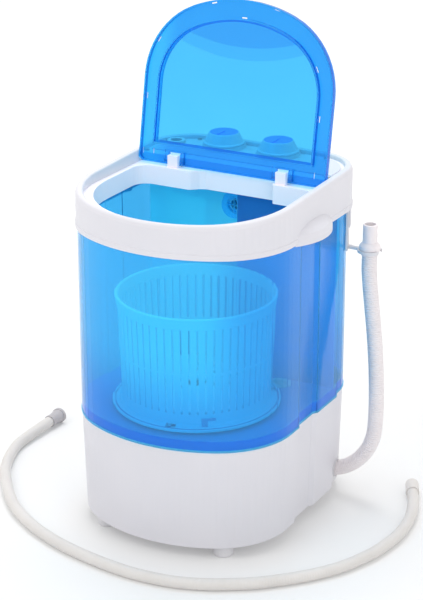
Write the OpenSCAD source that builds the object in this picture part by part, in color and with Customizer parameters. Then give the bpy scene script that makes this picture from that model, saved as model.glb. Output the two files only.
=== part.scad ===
// Mini washing machine with one clear tub, a lift-out spin basket and a hinged lid.
// Front is -Y, the floor is z = 0, and the origin is under the middle of the body.

/* [Body] */
// Width of the top frame without its side handles
frame_w = 331; // [326:1:337]
// Depth from the curved front to the back of the rear cover
body_d = 377; // [370:1:392]
// Radius of the curved front
front_r = 220.6; // [212:0.2:230]
// Radius that blends the front into each side
corner_r = 118.7; // [112:0.2:124]
// Radius of the two rear corners
rear_r = 77; // [66:1:84]
// Height of the feet below the base
foot_h = 18.7; // [12:0.1:26]
// Height of the white base
base_h = 150.3; // [148:0.1:180]
// Height of the clear tub between base and frame
tub_h = 281; // [270:1:330]
// Height of the top frame at the rear
frame_h = 61.5; // [58:0.5:72]
// How much further in the base stands at its lower edge
base_taper = 4; // [0:0.5:8]

/* [Walls] */
// Wall of the clear tub
tub_t = 2.2; // [1.6:0.1:3.2]
// Wall of the white base
base_t = 2.5; // [1.8:0.1:3.5]
// Wall of the top frame
frame_t = 2.4; // [2:0.1:2.8]
// Thickness of the tub's floor
floor_t = 3; // [2:0.1:4]
// Gap between two pieces that seat in each other
fit_gap = 0.3; // [0.2:0.05:0.5]
// Radial clearance of a turning shaft
run_gap = 0.05; // [0.02:0.01:0.09]

/* [Opening and lid] */
// How far the lid's ledge lies below the rear rim
ledge_drop = 19; // [17:0.5:22]
// How far the rim falls from rear to front
rim_drop = 15; // [8:0.5:16]
// Width of the rim beside the lid
rim_side_w = 12.5; // [11:0.5:14]
// Width of the rim in front of the lid
rim_front_w = 8.6; // [8:0.2:10]
// Width of the ledge that the lid lies on
ledge_w = 8.5; // [6:0.5:11]
// Height of the skirt that hangs from the ledge
skirt_h = 28; // [18:1:36]
// Distance of the hinge in front of the frame's back
hinge_in = 120.6; // [116:0.2:125]
// Angle of the lid when it stands open
lid_open = 100; // [92:1:104]
// Gap between the lid and the rim
lid_gap = 1.5; // [1:0.1:2]
// Width of the lid's raised border
lid_border = 24; // [20:1:28]
// Height of the lid's border walls
lid_h = 8.5; // [7.5:0.5:10]
// Thickness of the lid's sheet
lid_t = 2; // [1.6:0.1:2.4]
// Diameter of the two hinge pins
pin_d = 3; // [2.4:0.1:3.2]

/* [Handles] */
// Length of each side handle
handle_l = 112; // [90:1:130]
// How far each handle stands out
handle_out = 17.5; // [12:0.5:20]
// Height of each handle
handle_h = 24; // [20:1:32]

/* [Controls] */
// Height of the deck behind the lid below the rear rim
deck_drop = 6.5; // [4:0.5:8]
// Distance of the knobs in front of the frame's back
knob_in = 36.6; // [34.6:0.2:44.6]
// Distance of the wash knob to the left
wash_x = 57; // [50:1:60]
// Distance of the spin knob to the right
spin_x = 33; // [26:1:44]
// Diameter of a knob's skirt
knob_d = 62; // [52:1:64]
// Diameter of a knob's top
knob_top_d = 43; // [36:1:48]
// Height of a knob
knob_h = 17.5; // [14:0.5:22]
// Diameter of a timer's spindle
spindle_d = 6; // [5:0.5:8]
// Diameter of the water inlet
inlet_d = 27; // [22:1:30]

/* [Wash and spin] */
// Distance of the pulsator to the right of the middle
wash_x0 = 8; // [0:1:12]
// Gap between the basket's rim and the front of the tub
basket_front_gap = 16.1; // [15:0.1:22]
// Gap between the basket's rim and the step in the tub's rear wall
basket_rear_gap = 16.5; // [15:0.1:22]
// Height of the spin basket
basket_h = 166; // [140:1:170]
// Wall of the spin basket
basket_t = 2.4; // [2:0.1:3]
// Number of slots in each ring of the basket
slot_count = 60; // [32:1:64]
// Width of a slot
slot_w = 2.8; // [2:0.1:3]
// Gap between the pulsator and the basket's wall
pulsator_gap = 8.6; // [7:0.1:16]
// Number of vanes on the pulsator
vane_count = 6; // [4:1:8]
// Diameter of the drive shaft
shaft_d = 12; // [10:0.5:14]
// Radius of the large pulley
pulley_r = 58; // [48:1:60]
// Radius of the motor's pulley
motor_pulley_r = 14.5; // [12:0.5:18]
// Distance between the two pulleys
belt_span = 130; // [124:1:134]
// Diameter of the motor
motor_d = 88; // [78:1:92]
// Height of the motor
motor_h = 74; // [64:1:76]

/* [Hoses] */
// Diameter over the ribs of the drain hose
drain_d = 23; // [20:1:26]
// Diameter of the drain hose between its ribs
drain_root_d = 20; // [17:0.5:21]
// Bore of the drain hose
drain_bore = 16; // [14:0.5:17]
// Diameter of the inlet hose
inlet_hose_d = 17; // [15:0.5:18]
// Bore of the inlet hose
inlet_hose_bore = 12; // [9:0.5:13]

/* [Hidden] */

white = [0.93, 0.93, 0.95];
shell_blue = [0.25, 0.62, 0.95, 0.6];
lid_blue = [0.16, 0.56, 0.98, 0.7];
pale_blue = [0.45, 0.83, 0.99];
knob_blue = [0.22, 0.55, 0.9];
steel = [0.72, 0.73, 0.75];
dark = [0.18, 0.18, 0.2];
brass = [0.75, 0.6, 0.3];

// Levels from the floor up
base_z0 = foot_h;
base_z1 = base_z0 + base_h;
frame_z0 = base_z1 + tub_h;
frame_z1 = frame_z0 + frame_h;
ledge_z = frame_z1 - ledge_drop;
ledge_t = 2.5;
deck_z = frame_z1 - deck_drop;
deck_t = 2.5;
floor_z = base_z1 + 17.5;

// Plan of the body
frame_hw = frame_w / 2;
front_y = -body_d / 2;
arc_y = front_y + front_r;
cover_proud = 4.6;
tub_in = frame_t + fit_gap;
body_back = body_d / 2 - cover_proud;
frame_back = body_back + tub_in;
// Each side steps in for a hand-wide panel, out again and in once more before the rear corner
rear_step = 5.5;
rear_corner_y = frame_back - rear_r;
side_steps = [[-33, 0], [-25, 4.7], [20, 4.7], [27, 0], [rear_corner_y - 18.6, 0],
    [rear_corner_y - 6.6, rear_step]];

// Places that several pieces share
hinge_y = frame_back - hinge_in;
knob_y = frame_back - knob_in;
tub_wall_y = hinge_y + 34;
tub_wall_step_y = hinge_y + 14;
tub_wall_step_x = 2;
tub_front_y = front_y + tub_in + tub_t;
basket_r = (tub_wall_step_y - tub_front_y - basket_front_gap - basket_rear_gap) / 2;
pulley_x = wash_x0;
pulley_y = tub_front_y + basket_front_gap + basket_r;
motor_y = pulley_y + belt_span;
belt_z = base_z0 + 38;
belt_h = 8;
motor_z0 = belt_z + 22;
sump_side = 77;
sump_x = pulley_x + sump_side;
sump_y = tub_wall_step_y - 20;
sump_r = 13;
drain_y = 120;
drain_z = 34;
drain_start_x = 99;
drain_pipe_d = 24;
foot_x = frame_hw - 69.5;
foot_in = 28.753;
foot_front_y = arc_y - sqrt(pow(front_r - foot_in, 2) - pow(foot_x, 2));
foot_rear_y = frame_back - 58.6;
foot_d = 30;
screw_d = 7;

function turn(a) = [cos(a), sin(a)];
function arc(c, r, a0, a1, n) = [for (i = [0:n]) c + r * turn(a0 + (a1 - a0) * i / n)];
// Half of a curved front: a wide arc round the point (0, cy) that blends into the side at x = hw
function front_half(hw, fr, cr, t = 0, cy = arc_y) =
    let(c = [hw - cr, cy - sqrt(pow(fr - cr, 2) - pow(hw - cr, 2))], a = atan2(c[1] - cy, c[0]))
    concat(arc([0, cy], fr - t, -90, a, 12), arc(c, cr - t, a + 8, 0, 10));
function both_halves(h) = let(n = len(h)) concat(h, [for (i = [n - 1:-1:1]) [-h[i][0], h[i][1]]]);
// Plan of the body, t inside the outer face of the frame
function body_half(t, steps, drop, back) = concat(
    front_half(frame_hw, front_r, corner_r, t),
    [for (s = steps) [frame_hw - t - s[1], s[0]]],
    arc([frame_hw - drop - rear_r, back - rear_r], rear_r - t, 0, 90, 10));
function frame_plan(t) = both_halves(body_half(t, [], 0, frame_back));
function body_plan(t) = both_halves(body_half(t, side_steps, rear_step, frame_back));
// The recess that the lid lies in, and its ledge's opening
recess_hw = frame_hw - rim_side_w;
recess_r = front_r - rim_front_w;
recess_cr = corner_r - 1.2;
open_hw = recess_hw - ledge_w;
open_r = recess_r - ledge_w;
open_cr = recess_cr + 14;
open_back = hinge_y + 1;
block_y = hinge_y - 13.5;
block_l = wash_x0 - 68;
block_r = wash_x0 + 64;
deck_front = hinge_y + 6.5;
open_corner_r = 22;
function open_rear(t) = concat(
    arc([open_hw - open_corner_r, block_y - open_corner_r], open_corner_r + t, 0, 90, 6),
    [[block_r + 3 - t, block_y + t], [block_r - t, block_y + t + 3], [block_r - 2 - t, open_back + t],
     [block_l + 18 + t, open_back + t], [block_l + 9 + t, open_back + t - 4], [block_l + t, block_y + t + 2],
     [block_l - 4 + t, block_y + t]],
    arc([open_corner_r - open_hw, block_y - open_corner_r], open_corner_r + t, 90, 180, 6));
function open_plan(t) = let(h = front_half(open_hw, open_r, open_cr, -t), n = len(h))
    concat(h, open_rear(t), [for (i = [n - 1:-1:1]) [-h[i][0], h[i][1]]]);

// The rim's top falls towards the front
function rim_z(y) = frame_z1 - rim_drop * pow(max(0, 1 - (y - front_y) / 215), 1.3);
// Plan at height z, or followed z below the sloping top of the rim where z is not above 0
function at_level(plan, z) = [for (p = plan) [p[0], p[1], z > 0 ? z : rim_z(p[1]) + z]];
// A closed skin over rings of equal length, the last ring joined to the first
module closed_loft(rings) {
    n = len(rings[0]);
    m = len(rings);
    points = [for (r = rings) for (p = r) p];
    faces = [for (j = [0:m - 1]) for (i = [0:n - 1]) for (k = [0, 1])
        let(a = j * n + i, b = j * n + (i + 1) % n, c = ((j + 1) % m) * n + i, d = c - i + (i + 1) % n)
        k == 0 ? [a, c, b] : [b, c, d]];
    polyhedron(points, faces, convexity = 6);
}
// A solid skinned over plans of equal length at rising levels
module open_loft(plans, levels) {
    n = len(plans[0]);
    m = len(plans);
    points = [for (j = [0:m - 1]) for (p = plans[j]) [p[0], p[1], levels[j]]];
    sides = [for (j = [0:m - 2]) for (i = [0:n - 1]) for (k = [0, 1])
        let(a = j * n + i, b = j * n + (i + 1) % n, c = a + n, d = b + n)
        k == 0 ? [a, c, b] : [b, c, d]];
    polyhedron(points, concat([[for (i = [0:n - 1]) i]], [[for (i = [n - 1:-1:0]) (m - 1) * n + i]], sides),
        convexity = 6);
}

module screw_head(x, y, z, d = screw_d, up = 1) {
    translate([x, y, z])
    mirror([0, 0, up > 0 ? 0 : 1])
    difference() {
        union() {
            cylinder(d = d, h = 1.8, $fn = 24);
            translate([0, 0, -6]) cylinder(d = d / 2, h = 6.5, $fn = 20);
        }
        translate([-d * 0.35, -0.4, 1]) cube([d * 0.7, 0.8, 2]);
        translate([-0.4, -d * 0.35, 1]) cube([0.8, d * 0.7, 2]);
    }
}

function frame_inner(t) = both_halves(concat(front_half(recess_hw, recess_r, recess_cr, t),
    arc([frame_hw - rear_r, frame_back - rear_r], rear_r - rim_side_w - t, 0, 90, 10)));
base_in = tub_in + 0.6;
function base_inset(z) = base_in + base_taper * (base_z1 - z) / base_h;
plate_t = 2.5;
boss_d = 10;
boss_h = 26;
screw_hole_d = screw_d / 2 + 0.4;
// Screw places along the lower edge of the base: [x, y, angle of the wall's outward direction]
boss_in = base_inset(base_z0) + base_t + boss_d / 2 + 1.5;
front_boss_side = 9.659;
front_boss_x = foot_x - front_boss_side;
front_boss_a = asin(front_boss_x / (front_r - boss_in));
front_boss_y = arc_y - (front_r - boss_in) * cos(front_boss_a);
boss_places = [
    [front_boss_x, front_boss_y, front_boss_a - 90],
    [-front_boss_x, front_boss_y, -90 - front_boss_a],
    [frame_hw - boss_in, 60, 0],
    [boss_in - frame_hw, 60, 180],
    [60, frame_back - boss_in, 90],
    [-60, frame_back - boss_in, 90]];
gland_x = -70;
gland_z = base_z0 + 42;
gland_d = 16;
notch_w = drain_d + 7;
notch_top = drain_z + drain_d;

module base_shell() {
    color(white)
    difference() {
        union() {
            difference() {
                open_loft([for (z = [base_z0, base_z1]) body_plan(base_inset(z))], [base_z0, base_z1]);
                open_loft([for (z = [base_z0, base_z1]) body_plan(base_inset(z) + base_t)],
                    [base_z0 - 0.01, base_z1 + 0.01]);
            }
            for (b = boss_places)
                translate([b[0], b[1], base_z0 + plate_t])
                rotate([0, 0, b[2]]) {
                    cylinder(d = boss_d, h = boss_h, $fn = 32);
                    translate([0, -1.5, 0]) cube([boss_d / 2 + 1.5 + base_t / 2, 3, boss_h]);
                }
        }
        for (b = boss_places)
            translate([b[0], b[1], base_z0 - 1]) cylinder(d = screw_hole_d, h = boss_h, $fn = 24);
        // Way out for the drain hose
        translate([frame_hw - 40, drain_y - notch_w / 2, base_z0 - 1])
            cube([60, notch_w, notch_top - notch_w / 2 - base_z0 + 1]);
        translate([frame_hw - 40, drain_y, notch_top - notch_w / 2])
            rotate([0, 90, 0]) cylinder(d = notch_w, h = 60, $fn = 48);
        // Hole for the mains cord's gland
        translate([gland_x, frame_back, gland_z])
            rotate([90, 0, 0]) cylinder(d = gland_d + 2 * fit_gap, h = 30, $fn = 40);
    }
}

module base_plate() {
    inset = base_inset(base_z0) + base_t + fit_gap;
    color(white)
    difference() {
        translate([0, 0, base_z0])
            linear_extrude(plate_t) polygon(body_plan(inset));
        for (b = boss_places)
            translate([b[0], b[1], base_z0 - 1]) cylinder(d = screw_hole_d, h = 6, $fn = 24);
        // Air slots below the motor
        for (i = [-4:4])
            translate([pulley_x + i * 9 - 1.5, motor_y - 25, base_z0 - 1]) cube([3, 50, plate_t + 2]);
        // Room for the drain hose beside the plate's edge
        translate([frame_hw - 14, drain_y - notch_w / 2, base_z0 - 1]) cube([20, notch_w, plate_t + 2]);
    }
}

module feet() {
    color([0.86, 0.86, 0.89])
    for (x = [-foot_x, foot_x]) for (y = [foot_front_y, foot_rear_y])
        translate([x, y, 0])
        rotate_extrude($fn = 48)
        polygon([[0, 3], [5, 3], [5, 0], [foot_d / 2 - 2, 0], [foot_d / 2 - 0.6, 1], [foot_d / 2, 4],
                 [foot_d / 2, foot_h], [0, foot_h]]);
}

tub_top = ledge_z - ledge_t;
bearing_hole_d = 26;
hub_clear = 3;
ring_x = -12;
ring_z = frame_z0 - 14;
ring_d = 43;
mouth_d = 26;
service_w = 2 * (frame_hw - 70.5);
service_h = 200;
service_z = base_z1 + 40;
module in_front_of_tub_wall(off = 0) {
    polygon([[-frame_w, front_y - 20], [frame_w, front_y - 20], [frame_w, tub_wall_step_y + off],
             [tub_wall_step_x + off, tub_wall_step_y + off], [tub_wall_step_x + off, tub_wall_y + off],
             [-frame_w, tub_wall_y + off]]);
}
// Outer wall of the tub, which is also the clear body of the machine
module wash_tub() {
    color(shell_blue)
    difference() {
        union() {
            translate([0, 0, base_z1])
            linear_extrude(tub_top - base_z1)
            difference() {
                polygon(body_plan(tub_in));
                polygon(body_plan(tub_in + tub_t));
            }
            // Lip that covers the top edge of the base
            translate([0, 0, base_z1])
            linear_extrude(2.5)
            difference() {
                polygon(body_plan(tub_in - 1));
                polygon(body_plan(tub_in + tub_t + 1));
            }
        }
        translate([-service_w / 2, body_back - tub_t - 1, service_z])
            cube([service_w, tub_t + 2, service_h]);
        for (p = cover_screws)
            translate([p[0], body_back + 1, p[1]]) rotate([90, 0, 0])
                cylinder(d = screw_hole_d, h = 6, $fn = 24);
    }
}
// Rear wall of the wash space, which steps forward on the right
module tub_wall() {
    color(shell_blue)
    difference() {
        translate([0, 0, floor_z])
        linear_extrude(tub_top - floor_z)
        intersection() {
            polygon(body_plan(tub_in + tub_t));
            difference() {
                in_front_of_tub_wall(tub_t);
                in_front_of_tub_wall(0);
            }
        }
        translate([ring_x, tub_wall_y - 1, ring_z]) rotate([-90, 0, 0])
            cylinder(d = mouth_d, h = tub_t + 2, $fn = 48);
    }
}
module tub_floor() {
    color(shell_blue)
    difference() {
        translate([0, 0, floor_z - floor_t])
        linear_extrude(floor_t)
        intersection() {
            polygon(body_plan(tub_in + tub_t));
            in_front_of_tub_wall(tub_t);
        }
        translate([pulley_x, pulley_y, floor_z - floor_t - 1])
            cylinder(d = bearing_hole_d, h = floor_t + 2, $fn = 48);
        translate([sump_x, sump_y, floor_z - floor_t - 1]) cylinder(r = sump_r, h = floor_t + 2, $fn = 48);
    }
}

lug_places = [60 - recess_hw, recess_hw - 70];
lug_w = 16;
notch_gap = 2;
hinge_z = ledge_z + 6.5;
lid_z0 = ledge_z + 0.5;
lid_z1 = lid_z0 + lid_h;
stop_r = 14;
lid_rear_y = hinge_y + 4;
lid_border_front = lid_border + 5;
lid_band = lid_border + 2;
lid_wall_t = 2.2;
handle_y = 2;
spindle_hole_d = spindle_d + 6;
inlet_x = 34.5 - frame_hw;
inlet_y = frame_back - 50.1;
inlet_bore = 17;
deck_screw_front = 8;
deck_screw_side = 5;
// The rear screws stand beside the wash knob, at one distance inside the frame's rounded corners
corner_screw_side = 48;
corner_screw_in = 8.991;
corner_screw_x = wash_x + corner_screw_side;
corner_screw_y = rear_corner_y
    + sqrt(pow(rear_r - rim_side_w - corner_screw_in, 2) - pow(corner_screw_x + rear_r - frame_hw, 2));
deck_screws = [for (p = [[recess_hw - deck_screw_side, deck_front + deck_screw_front],
    [corner_screw_x, corner_screw_y]]) for (side = [-1, 1]) [side * p[0], p[1]]];

module hinge_lug(x) {
    translate([x - lug_w / 2, hinge_y, hinge_z])
    rotate([90, 0, 90])
    linear_extrude(lug_w)
    difference() {
        union() {
            translate([-8.5, ledge_z - hinge_z - 1]) square([10.5, stop_r - 3 - ledge_z + hinge_z + 1]);
            circle(r = 5.2, $fn = 48);
            // Nose that stops the open lid
            translate([5.4, 9.6]) circle(r = 3.6, $fn = 40);
            translate([1, 6.2]) square([4.4, 4.8]);
        }
        circle(d = pin_d + 2 * run_gap, $fn = 40);
        rotate(-28) translate([0, -pin_d * 0.44]) square([10, pin_d * 0.88]);
    }
}
handle_r = (pow(handle_l / 2, 2) + pow(handle_out + 2, 2)) / (2 * (handle_out + 2));
handle_z0 = frame_z0 - 3;
// Slices of the handle's hood: [height, how far out]
hood_slices = [[0, 1], [0.28, 1], [0.56, 0.82], [0.8, 0.45], [1, 0]];
module handle_hood(inset, drop) {
    hull()
    for (h = hood_slices)
        translate([0, handle_y, handle_z0 - drop + h[0] * handle_h])
        linear_extrude(0.5)
        intersection() {
            translate([frame_hw + h[1] * handle_out - handle_r, 0]) circle(r = handle_r - inset, $fn = 120);
            translate([frame_hw - 2, -handle_l]) square([40, 2 * handle_l]);
        }
}
module side_handle() {
    difference() {
        handle_hood(0, 0);
        handle_hood(2.4, 4);
    }
}
module top_frame() {
    color(white) {
        closed_loft([
            at_level(frame_plan(0), frame_z0),
            at_level(frame_plan(0), frame_z0 + 7),
            at_level(frame_plan(1), frame_z0 + 8),
            at_level(frame_plan(1), -7),
            at_level(frame_plan(2.2), -3),
            at_level(frame_plan(3.4), -1),
            at_level(frame_plan(5), 0),
            at_level(frame_inner(-2), 0),
            at_level(frame_inner(-0.6), -1),
            at_level(frame_inner(0), -3),
            at_level(frame_inner(0), tub_top),
            at_level(frame_plan(frame_t), tub_top),
            at_level(frame_plan(frame_t), frame_z0)]);
        for (side = [0, 1]) mirror([side, 0, 0]) side_handle();
    }
}

// Ledge round the opening, with the skirt that hangs from it and the hinge lugs
module lid_seat() {
    color(white) {
        translate([0, 0, tub_top])
        linear_extrude(ledge_t)
        difference() {
            intersection() {
                polygon(frame_inner(0));
                translate([-frame_w, -body_d]) square([2 * frame_w, body_d + tub_wall_y + tub_t + 2]);
            }
            polygon(open_plan(0));
        }
        translate([0, 0, ledge_z - skirt_h])
        linear_extrude(skirt_h - 0.5)
        difference() {
            polygon(open_plan(frame_t));
            polygon(open_plan(0));
        }
        for (x = lug_places) hinge_lug(x);
    }
}

// Deck for the knobs, with its front wall
module rear_deck() {
    color(white)
    difference() {
        union() {
            translate([0, 0, deck_z - deck_t])
            linear_extrude(deck_t)
            intersection() {
                polygon(frame_inner(0));
                translate([-frame_w, deck_front]) square([2 * frame_w, body_d]);
            }
            translate([0, 0, ledge_z])
            linear_extrude(deck_z - ledge_z)
            intersection() {
                polygon(frame_inner(0));
                translate([-frame_w, deck_front]) square([2 * frame_w, frame_t]);
            }
        }
        for (x = [-wash_x, spin_x])
            translate([x, knob_y, deck_z - deck_t - 1])
                cylinder(d = spindle_hole_d, h = deck_t + 2, $fn = 40);
        for (p = deck_screws)
            translate([p[0], p[1], deck_z - deck_t - 6])
                cylinder(d = screw_hole_d, h = deck_t + 7, $fn = 24);
        translate([inlet_x, inlet_y, deck_z - deck_t - 1])
            cylinder(d = inlet_bore + 4, h = deck_t + 2, $fn = 40);
    }
}

panel_t = 1.6;
knob_z0 = frame_z1 + fit_gap + 0.1;
plinth_h = knob_z0 - fit_gap - deck_z - panel_t;
module control_panel() {
    color(white)
    translate([0, 0, deck_z])
    difference() {
        union() {
            linear_extrude(panel_t)
            intersection() {
                polygon(frame_inner(6));
                translate([-frame_w, deck_front + 18]) square([2 * frame_w, body_d]);
            }
            intersection() {
                linear_extrude(panel_t + plinth_h) polygon(frame_inner(0.6));
                for (x = [-wash_x, spin_x])
                    translate([x, knob_y, 0])
                        cylinder(d1 = knob_d + 6, d2 = knob_d + 2, h = panel_t + plinth_h, $fn = 72);
            }
        }
        for (p = deck_screws)
            translate([p[0], p[1], -1]) cylinder(d = screw_hole_d, h = panel_t + 2, $fn = 24);
        for (x = [-wash_x, spin_x])
            translate([x, knob_y, -1]) cylinder(d = spindle_hole_d, h = 12, $fn = 40);
        translate([inlet_x, inlet_y, -1]) cylinder(d = inlet_d + 2 * fit_gap, h = 6, $fn = 48);
    }
}
module panel_screws() {
    color(steel)
    for (p = deck_screws)
        screw_head(p[0], p[1], deck_z + (p[1] > knob_y ? panel_t : 0));
}

port_h = 8;
module inlet_port() {
    color(white)
    translate([inlet_x, inlet_y, deck_z])
    difference() {
        union() {
            cylinder(d = inlet_d, h = port_h - 3, $fn = 64);
            translate([0, 0, -deck_t - 8])
                cylinder(d = inlet_bore + 4 - 2 * fit_gap, h = deck_t + 9, $fn = 48);
        }
        translate([0, 0, -deck_t - 9]) cylinder(d = inlet_bore, h = 30, $fn = 48);
    }
}
pipe_d = 20;
pipe_bore = 15;
pipe_top = deck_z - deck_t - 8;
module pipe_run(d, over) {
    translate([inlet_x, inlet_y, ring_z]) cylinder(d = d, h = pipe_top - ring_z + over, $fn = 40);
    translate([inlet_x, inlet_y, ring_z]) rotate([0, 90, 0]) cylinder(d = d, h = ring_x - inlet_x, $fn = 40);
    translate([ring_x, inlet_y, ring_z]) rotate([90, 0, 0])
        cylinder(d = d, h = inlet_y - tub_wall_y - tub_t + over, $fn = 40);
    for (x = [inlet_x, ring_x]) translate([x, inlet_y, ring_z]) sphere(d = d, $fn = 40);
}
module inlet_pipe() {
    color([0.8, 0.82, 0.85])
    difference() {
        union() {
            pipe_run(pipe_d, 0);
            translate([ring_x, tub_wall_y + tub_t, ring_z]) rotate([-90, 0, 0])
                cylinder(d = mouth_d + 8, h = 2.5, $fn = 48);
        }
        pipe_run(pipe_bore, 1);
    }
}
module overflow_ring() {
    color(pale_blue)
    translate([ring_x, tub_wall_y, ring_z])
    rotate([90, 0, 0])
    difference() {
        union() {
            cylinder(d1 = ring_d, d2 = ring_d - 5, h = 6, $fn = 64);
            translate([0, 0, 0.1 - tub_t]) cylinder(d = mouth_d - 2 * fit_gap, h = tub_t + 1, $fn = 48);
        }
        // Flat side beside the step in the wall
        translate([tub_wall_step_x - ring_x - fit_gap, -ring_d, -tub_t - 1]) cube([ring_d, 2 * ring_d, 12]);
        difference() {
            translate([0, 0, -tub_t - 4]) cylinder(d = mouth_d - 6, h = tub_t + 14, $fn = 48);
            for (a = [0, 90]) rotate([0, 0, a]) translate([-mouth_d / 2, -1.2, 0]) cube([mouth_d, 2.4, 3]);
        }
    }
}

spindle_top = knob_z0 + knob_h - 5;
module knob(x) {
    translate([x, knob_y, knob_z0])
    difference() {
        union() {
            rotate_extrude($fn = 96)
            polygon([[0, 0], [knob_d / 2, 0], [knob_d / 2, 2.4], [knob_d / 2 - 2.2, 4],
                     [knob_top_d / 2 + 1.2, knob_h - 2], [knob_top_d / 2, knob_h - 0.6],
                     [knob_top_d / 2 - 1.6, knob_h], [0, knob_h]]);
            // Pointer rib
            translate([-1.4, -knob_top_d / 2 + 2, knob_h - 1]) cube([2.8, knob_top_d / 2, 2]);
        }
        translate([0, 0, -1]) cylinder(d = spindle_d + 2 * run_gap, h = knob_h - 4, $fn = 32);
        difference() {
            translate([0, 0, -1]) cylinder(d = knob_top_d - 6, h = knob_h - 4, $fn = 64);
            translate([0, 0, -2]) cylinder(d = spindle_d + 6, h = knob_h, $fn = 40);
        }
        // Finger flutes round the skirt
        for (a = [0:30:330])
            rotate([0, 0, a]) translate([knob_d / 2 + 6.4, 0, 4]) cylinder(d = 18, h = knob_h - 6, $fn = 32);
    }
}
module wash_knob() { color(pale_blue) knob(-wash_x); }
module spin_knob() { color(pale_blue) knob(spin_x); }
timer_z1 = deck_z - deck_t;
timer_d = 46;
timer_h = 34;
module spindle(x) {
    translate([x, knob_y, timer_z1 - timer_h + 8])
        cylinder(d = spindle_d, h = spindle_top - timer_z1 + timer_h - 8, $fn = 32);
}
module wash_spindle() { color(steel) spindle(-wash_x); }
module spin_spindle() { color(steel) spindle(spin_x); }
module timer(x) {
    translate([x, knob_y, timer_z1 - timer_h])
    difference() {
        union() {
            cylinder(d = timer_d, h = timer_h - 1, $fn = 64);
            for (a = [0, 180])
                rotate([0, 0, a]) translate([0, -5, timer_h - 2.5]) cube([timer_d / 2 + 8, 10, 2.5]);
            for (i = [-1:1]) translate([i * 12 - 0.4, -timer_d / 2 - 6, 6]) cube([0.8, 10, 6]);
        }
        translate([0, 0, 8 - 0.2]) cylinder(d = spindle_d + 2 * run_gap, h = timer_h, $fn = 32);
    }
}
module wash_timer() { color(dark) timer(-wash_x); }
module spin_timer() { color(dark) timer(spin_x); }

in_hw = recess_hw - lid_gap - lid_border;
in_r = recess_r - lid_gap - lid_border_front;
in_cr = corner_r - 26.7;
function lid_outer(t) = let(h = front_half(recess_hw, recess_r, recess_cr, lid_gap + t),
    x = recess_hw - lid_gap - t, y = lid_rear_y - t)
    both_halves(concat(h, [[x, y - 5], [x - 5, y]]));
function lid_inner(t) = let(h = front_half(in_hw, in_r, in_cr, t))
    both_halves(concat(h, [[in_hw - t, hinge_y - lid_band - t]]));
window_l = 9;
window_w = 1.6;
// Slots through the border beside both of its walls: [corner centre x, y, radius, angle]
lid_corner = [recess_hw - recess_cr,
    arc_y - sqrt(pow(recess_r - recess_cr, 2) - pow(recess_hw - recess_cr, 2))];
in_corner = [in_hw - in_cr, arc_y - sqrt(pow(in_r - in_cr, 2) - pow(in_hw - in_cr, 2))];
outer_in = lid_gap + lid_wall_t + window_w / 2 + 0.3;
inner_out = lid_wall_t + window_w / 2 + 0.3;
windows = concat(
    [for (y = [hinge_y - 10, -25]) [0, y, recess_hw - outer_in, 0]],
    [for (y = [hinge_y - 11, -25]) [0, y, in_hw + inner_out, 0]],
    [[lid_corner[0], lid_corner[1], recess_cr - outer_in, -28],
     [in_corner[0], in_corner[1], in_cr + inner_out, -27],
     [0, arc_y, recess_r - outer_in, -76],
     [0, arc_y, in_r + inner_out, -90]]);
knuckle_w = 6;
knuckle_l = lug_w + 2 * (notch_gap + knuckle_w);
module opened() {
    translate([0, hinge_y, hinge_z]) rotate([-lid_open, 0, 0]) translate([0, -hinge_y, -hinge_z]) children();
}
module lid_ring(z0, z1) {
    translate([0, 0, z0])
    linear_extrude(z1 - z0)
    difference() {
        children(0);
        children(1);
    }
}
module lid_rim() {
    color(lid_blue)
    opened()
    difference() {
        union() {
            lid_ring(lid_z1 - lid_t, lid_z1) { polygon(lid_outer(0)); polygon(lid_inner(0)); }
            lid_ring(lid_z0, lid_z1) { polygon(lid_outer(0)); polygon(lid_outer(lid_wall_t)); }
            lid_ring(lid_z0, lid_z1) { polygon(lid_inner(-lid_wall_t)); polygon(lid_inner(0)); }
            // Lip that the clear sheet lies on
            lid_ring(lid_z1 - lid_t - 1.2, lid_z1 - lid_t) {
                polygon(lid_inner(-0.5));
                polygon(lid_inner(3));
            }
            // Knuckles on both sides of each hinge lug
            for (x = lug_places)
                translate([x - knuckle_l / 2, hinge_y - stop_r - 2.2, hinge_z - 4.5])
                    cube([knuckle_l, lid_rear_y - hinge_y + stop_r + 2.2, lid_z1 - hinge_z + 4.5]);
        }
        for (x = lug_places) {
            translate([x - lug_w / 2 - notch_gap, hinge_y - stop_r, lid_z0 - 1])
                cube([lug_w + 2 * notch_gap, stop_r + 10, lid_h + 2]);
            translate([x - knuckle_l / 2 - 1, hinge_y, hinge_z])
                rotate([0, 90, 0]) cylinder(d = pin_d + 2 * run_gap, h = knuckle_l + 2, $fn = 32);
        }
        for (side = [0, 1]) for (w = windows)
            mirror([side, 0, 0])
            translate([w[0], w[1], lid_z1 - lid_t - 2])
            rotate([0, 0, w[3]]) translate([w[2] - window_w / 2, -window_l / 2, 0])
                cube([window_w, window_l, lid_t + 4]);
        // Relief below the rear edge, so that it clears the ledge as the lid swings
        translate([-frame_w, hinge_y - 0.5, lid_z0 - 1]) cube([2 * frame_w, 20, hinge_z - 4.5 - lid_z0 + 1]);
    }
}
lens_r = 281;
lens_y = hinge_y - 458;
crease_r = 278;
crease_y = hinge_y - 437;
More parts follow.
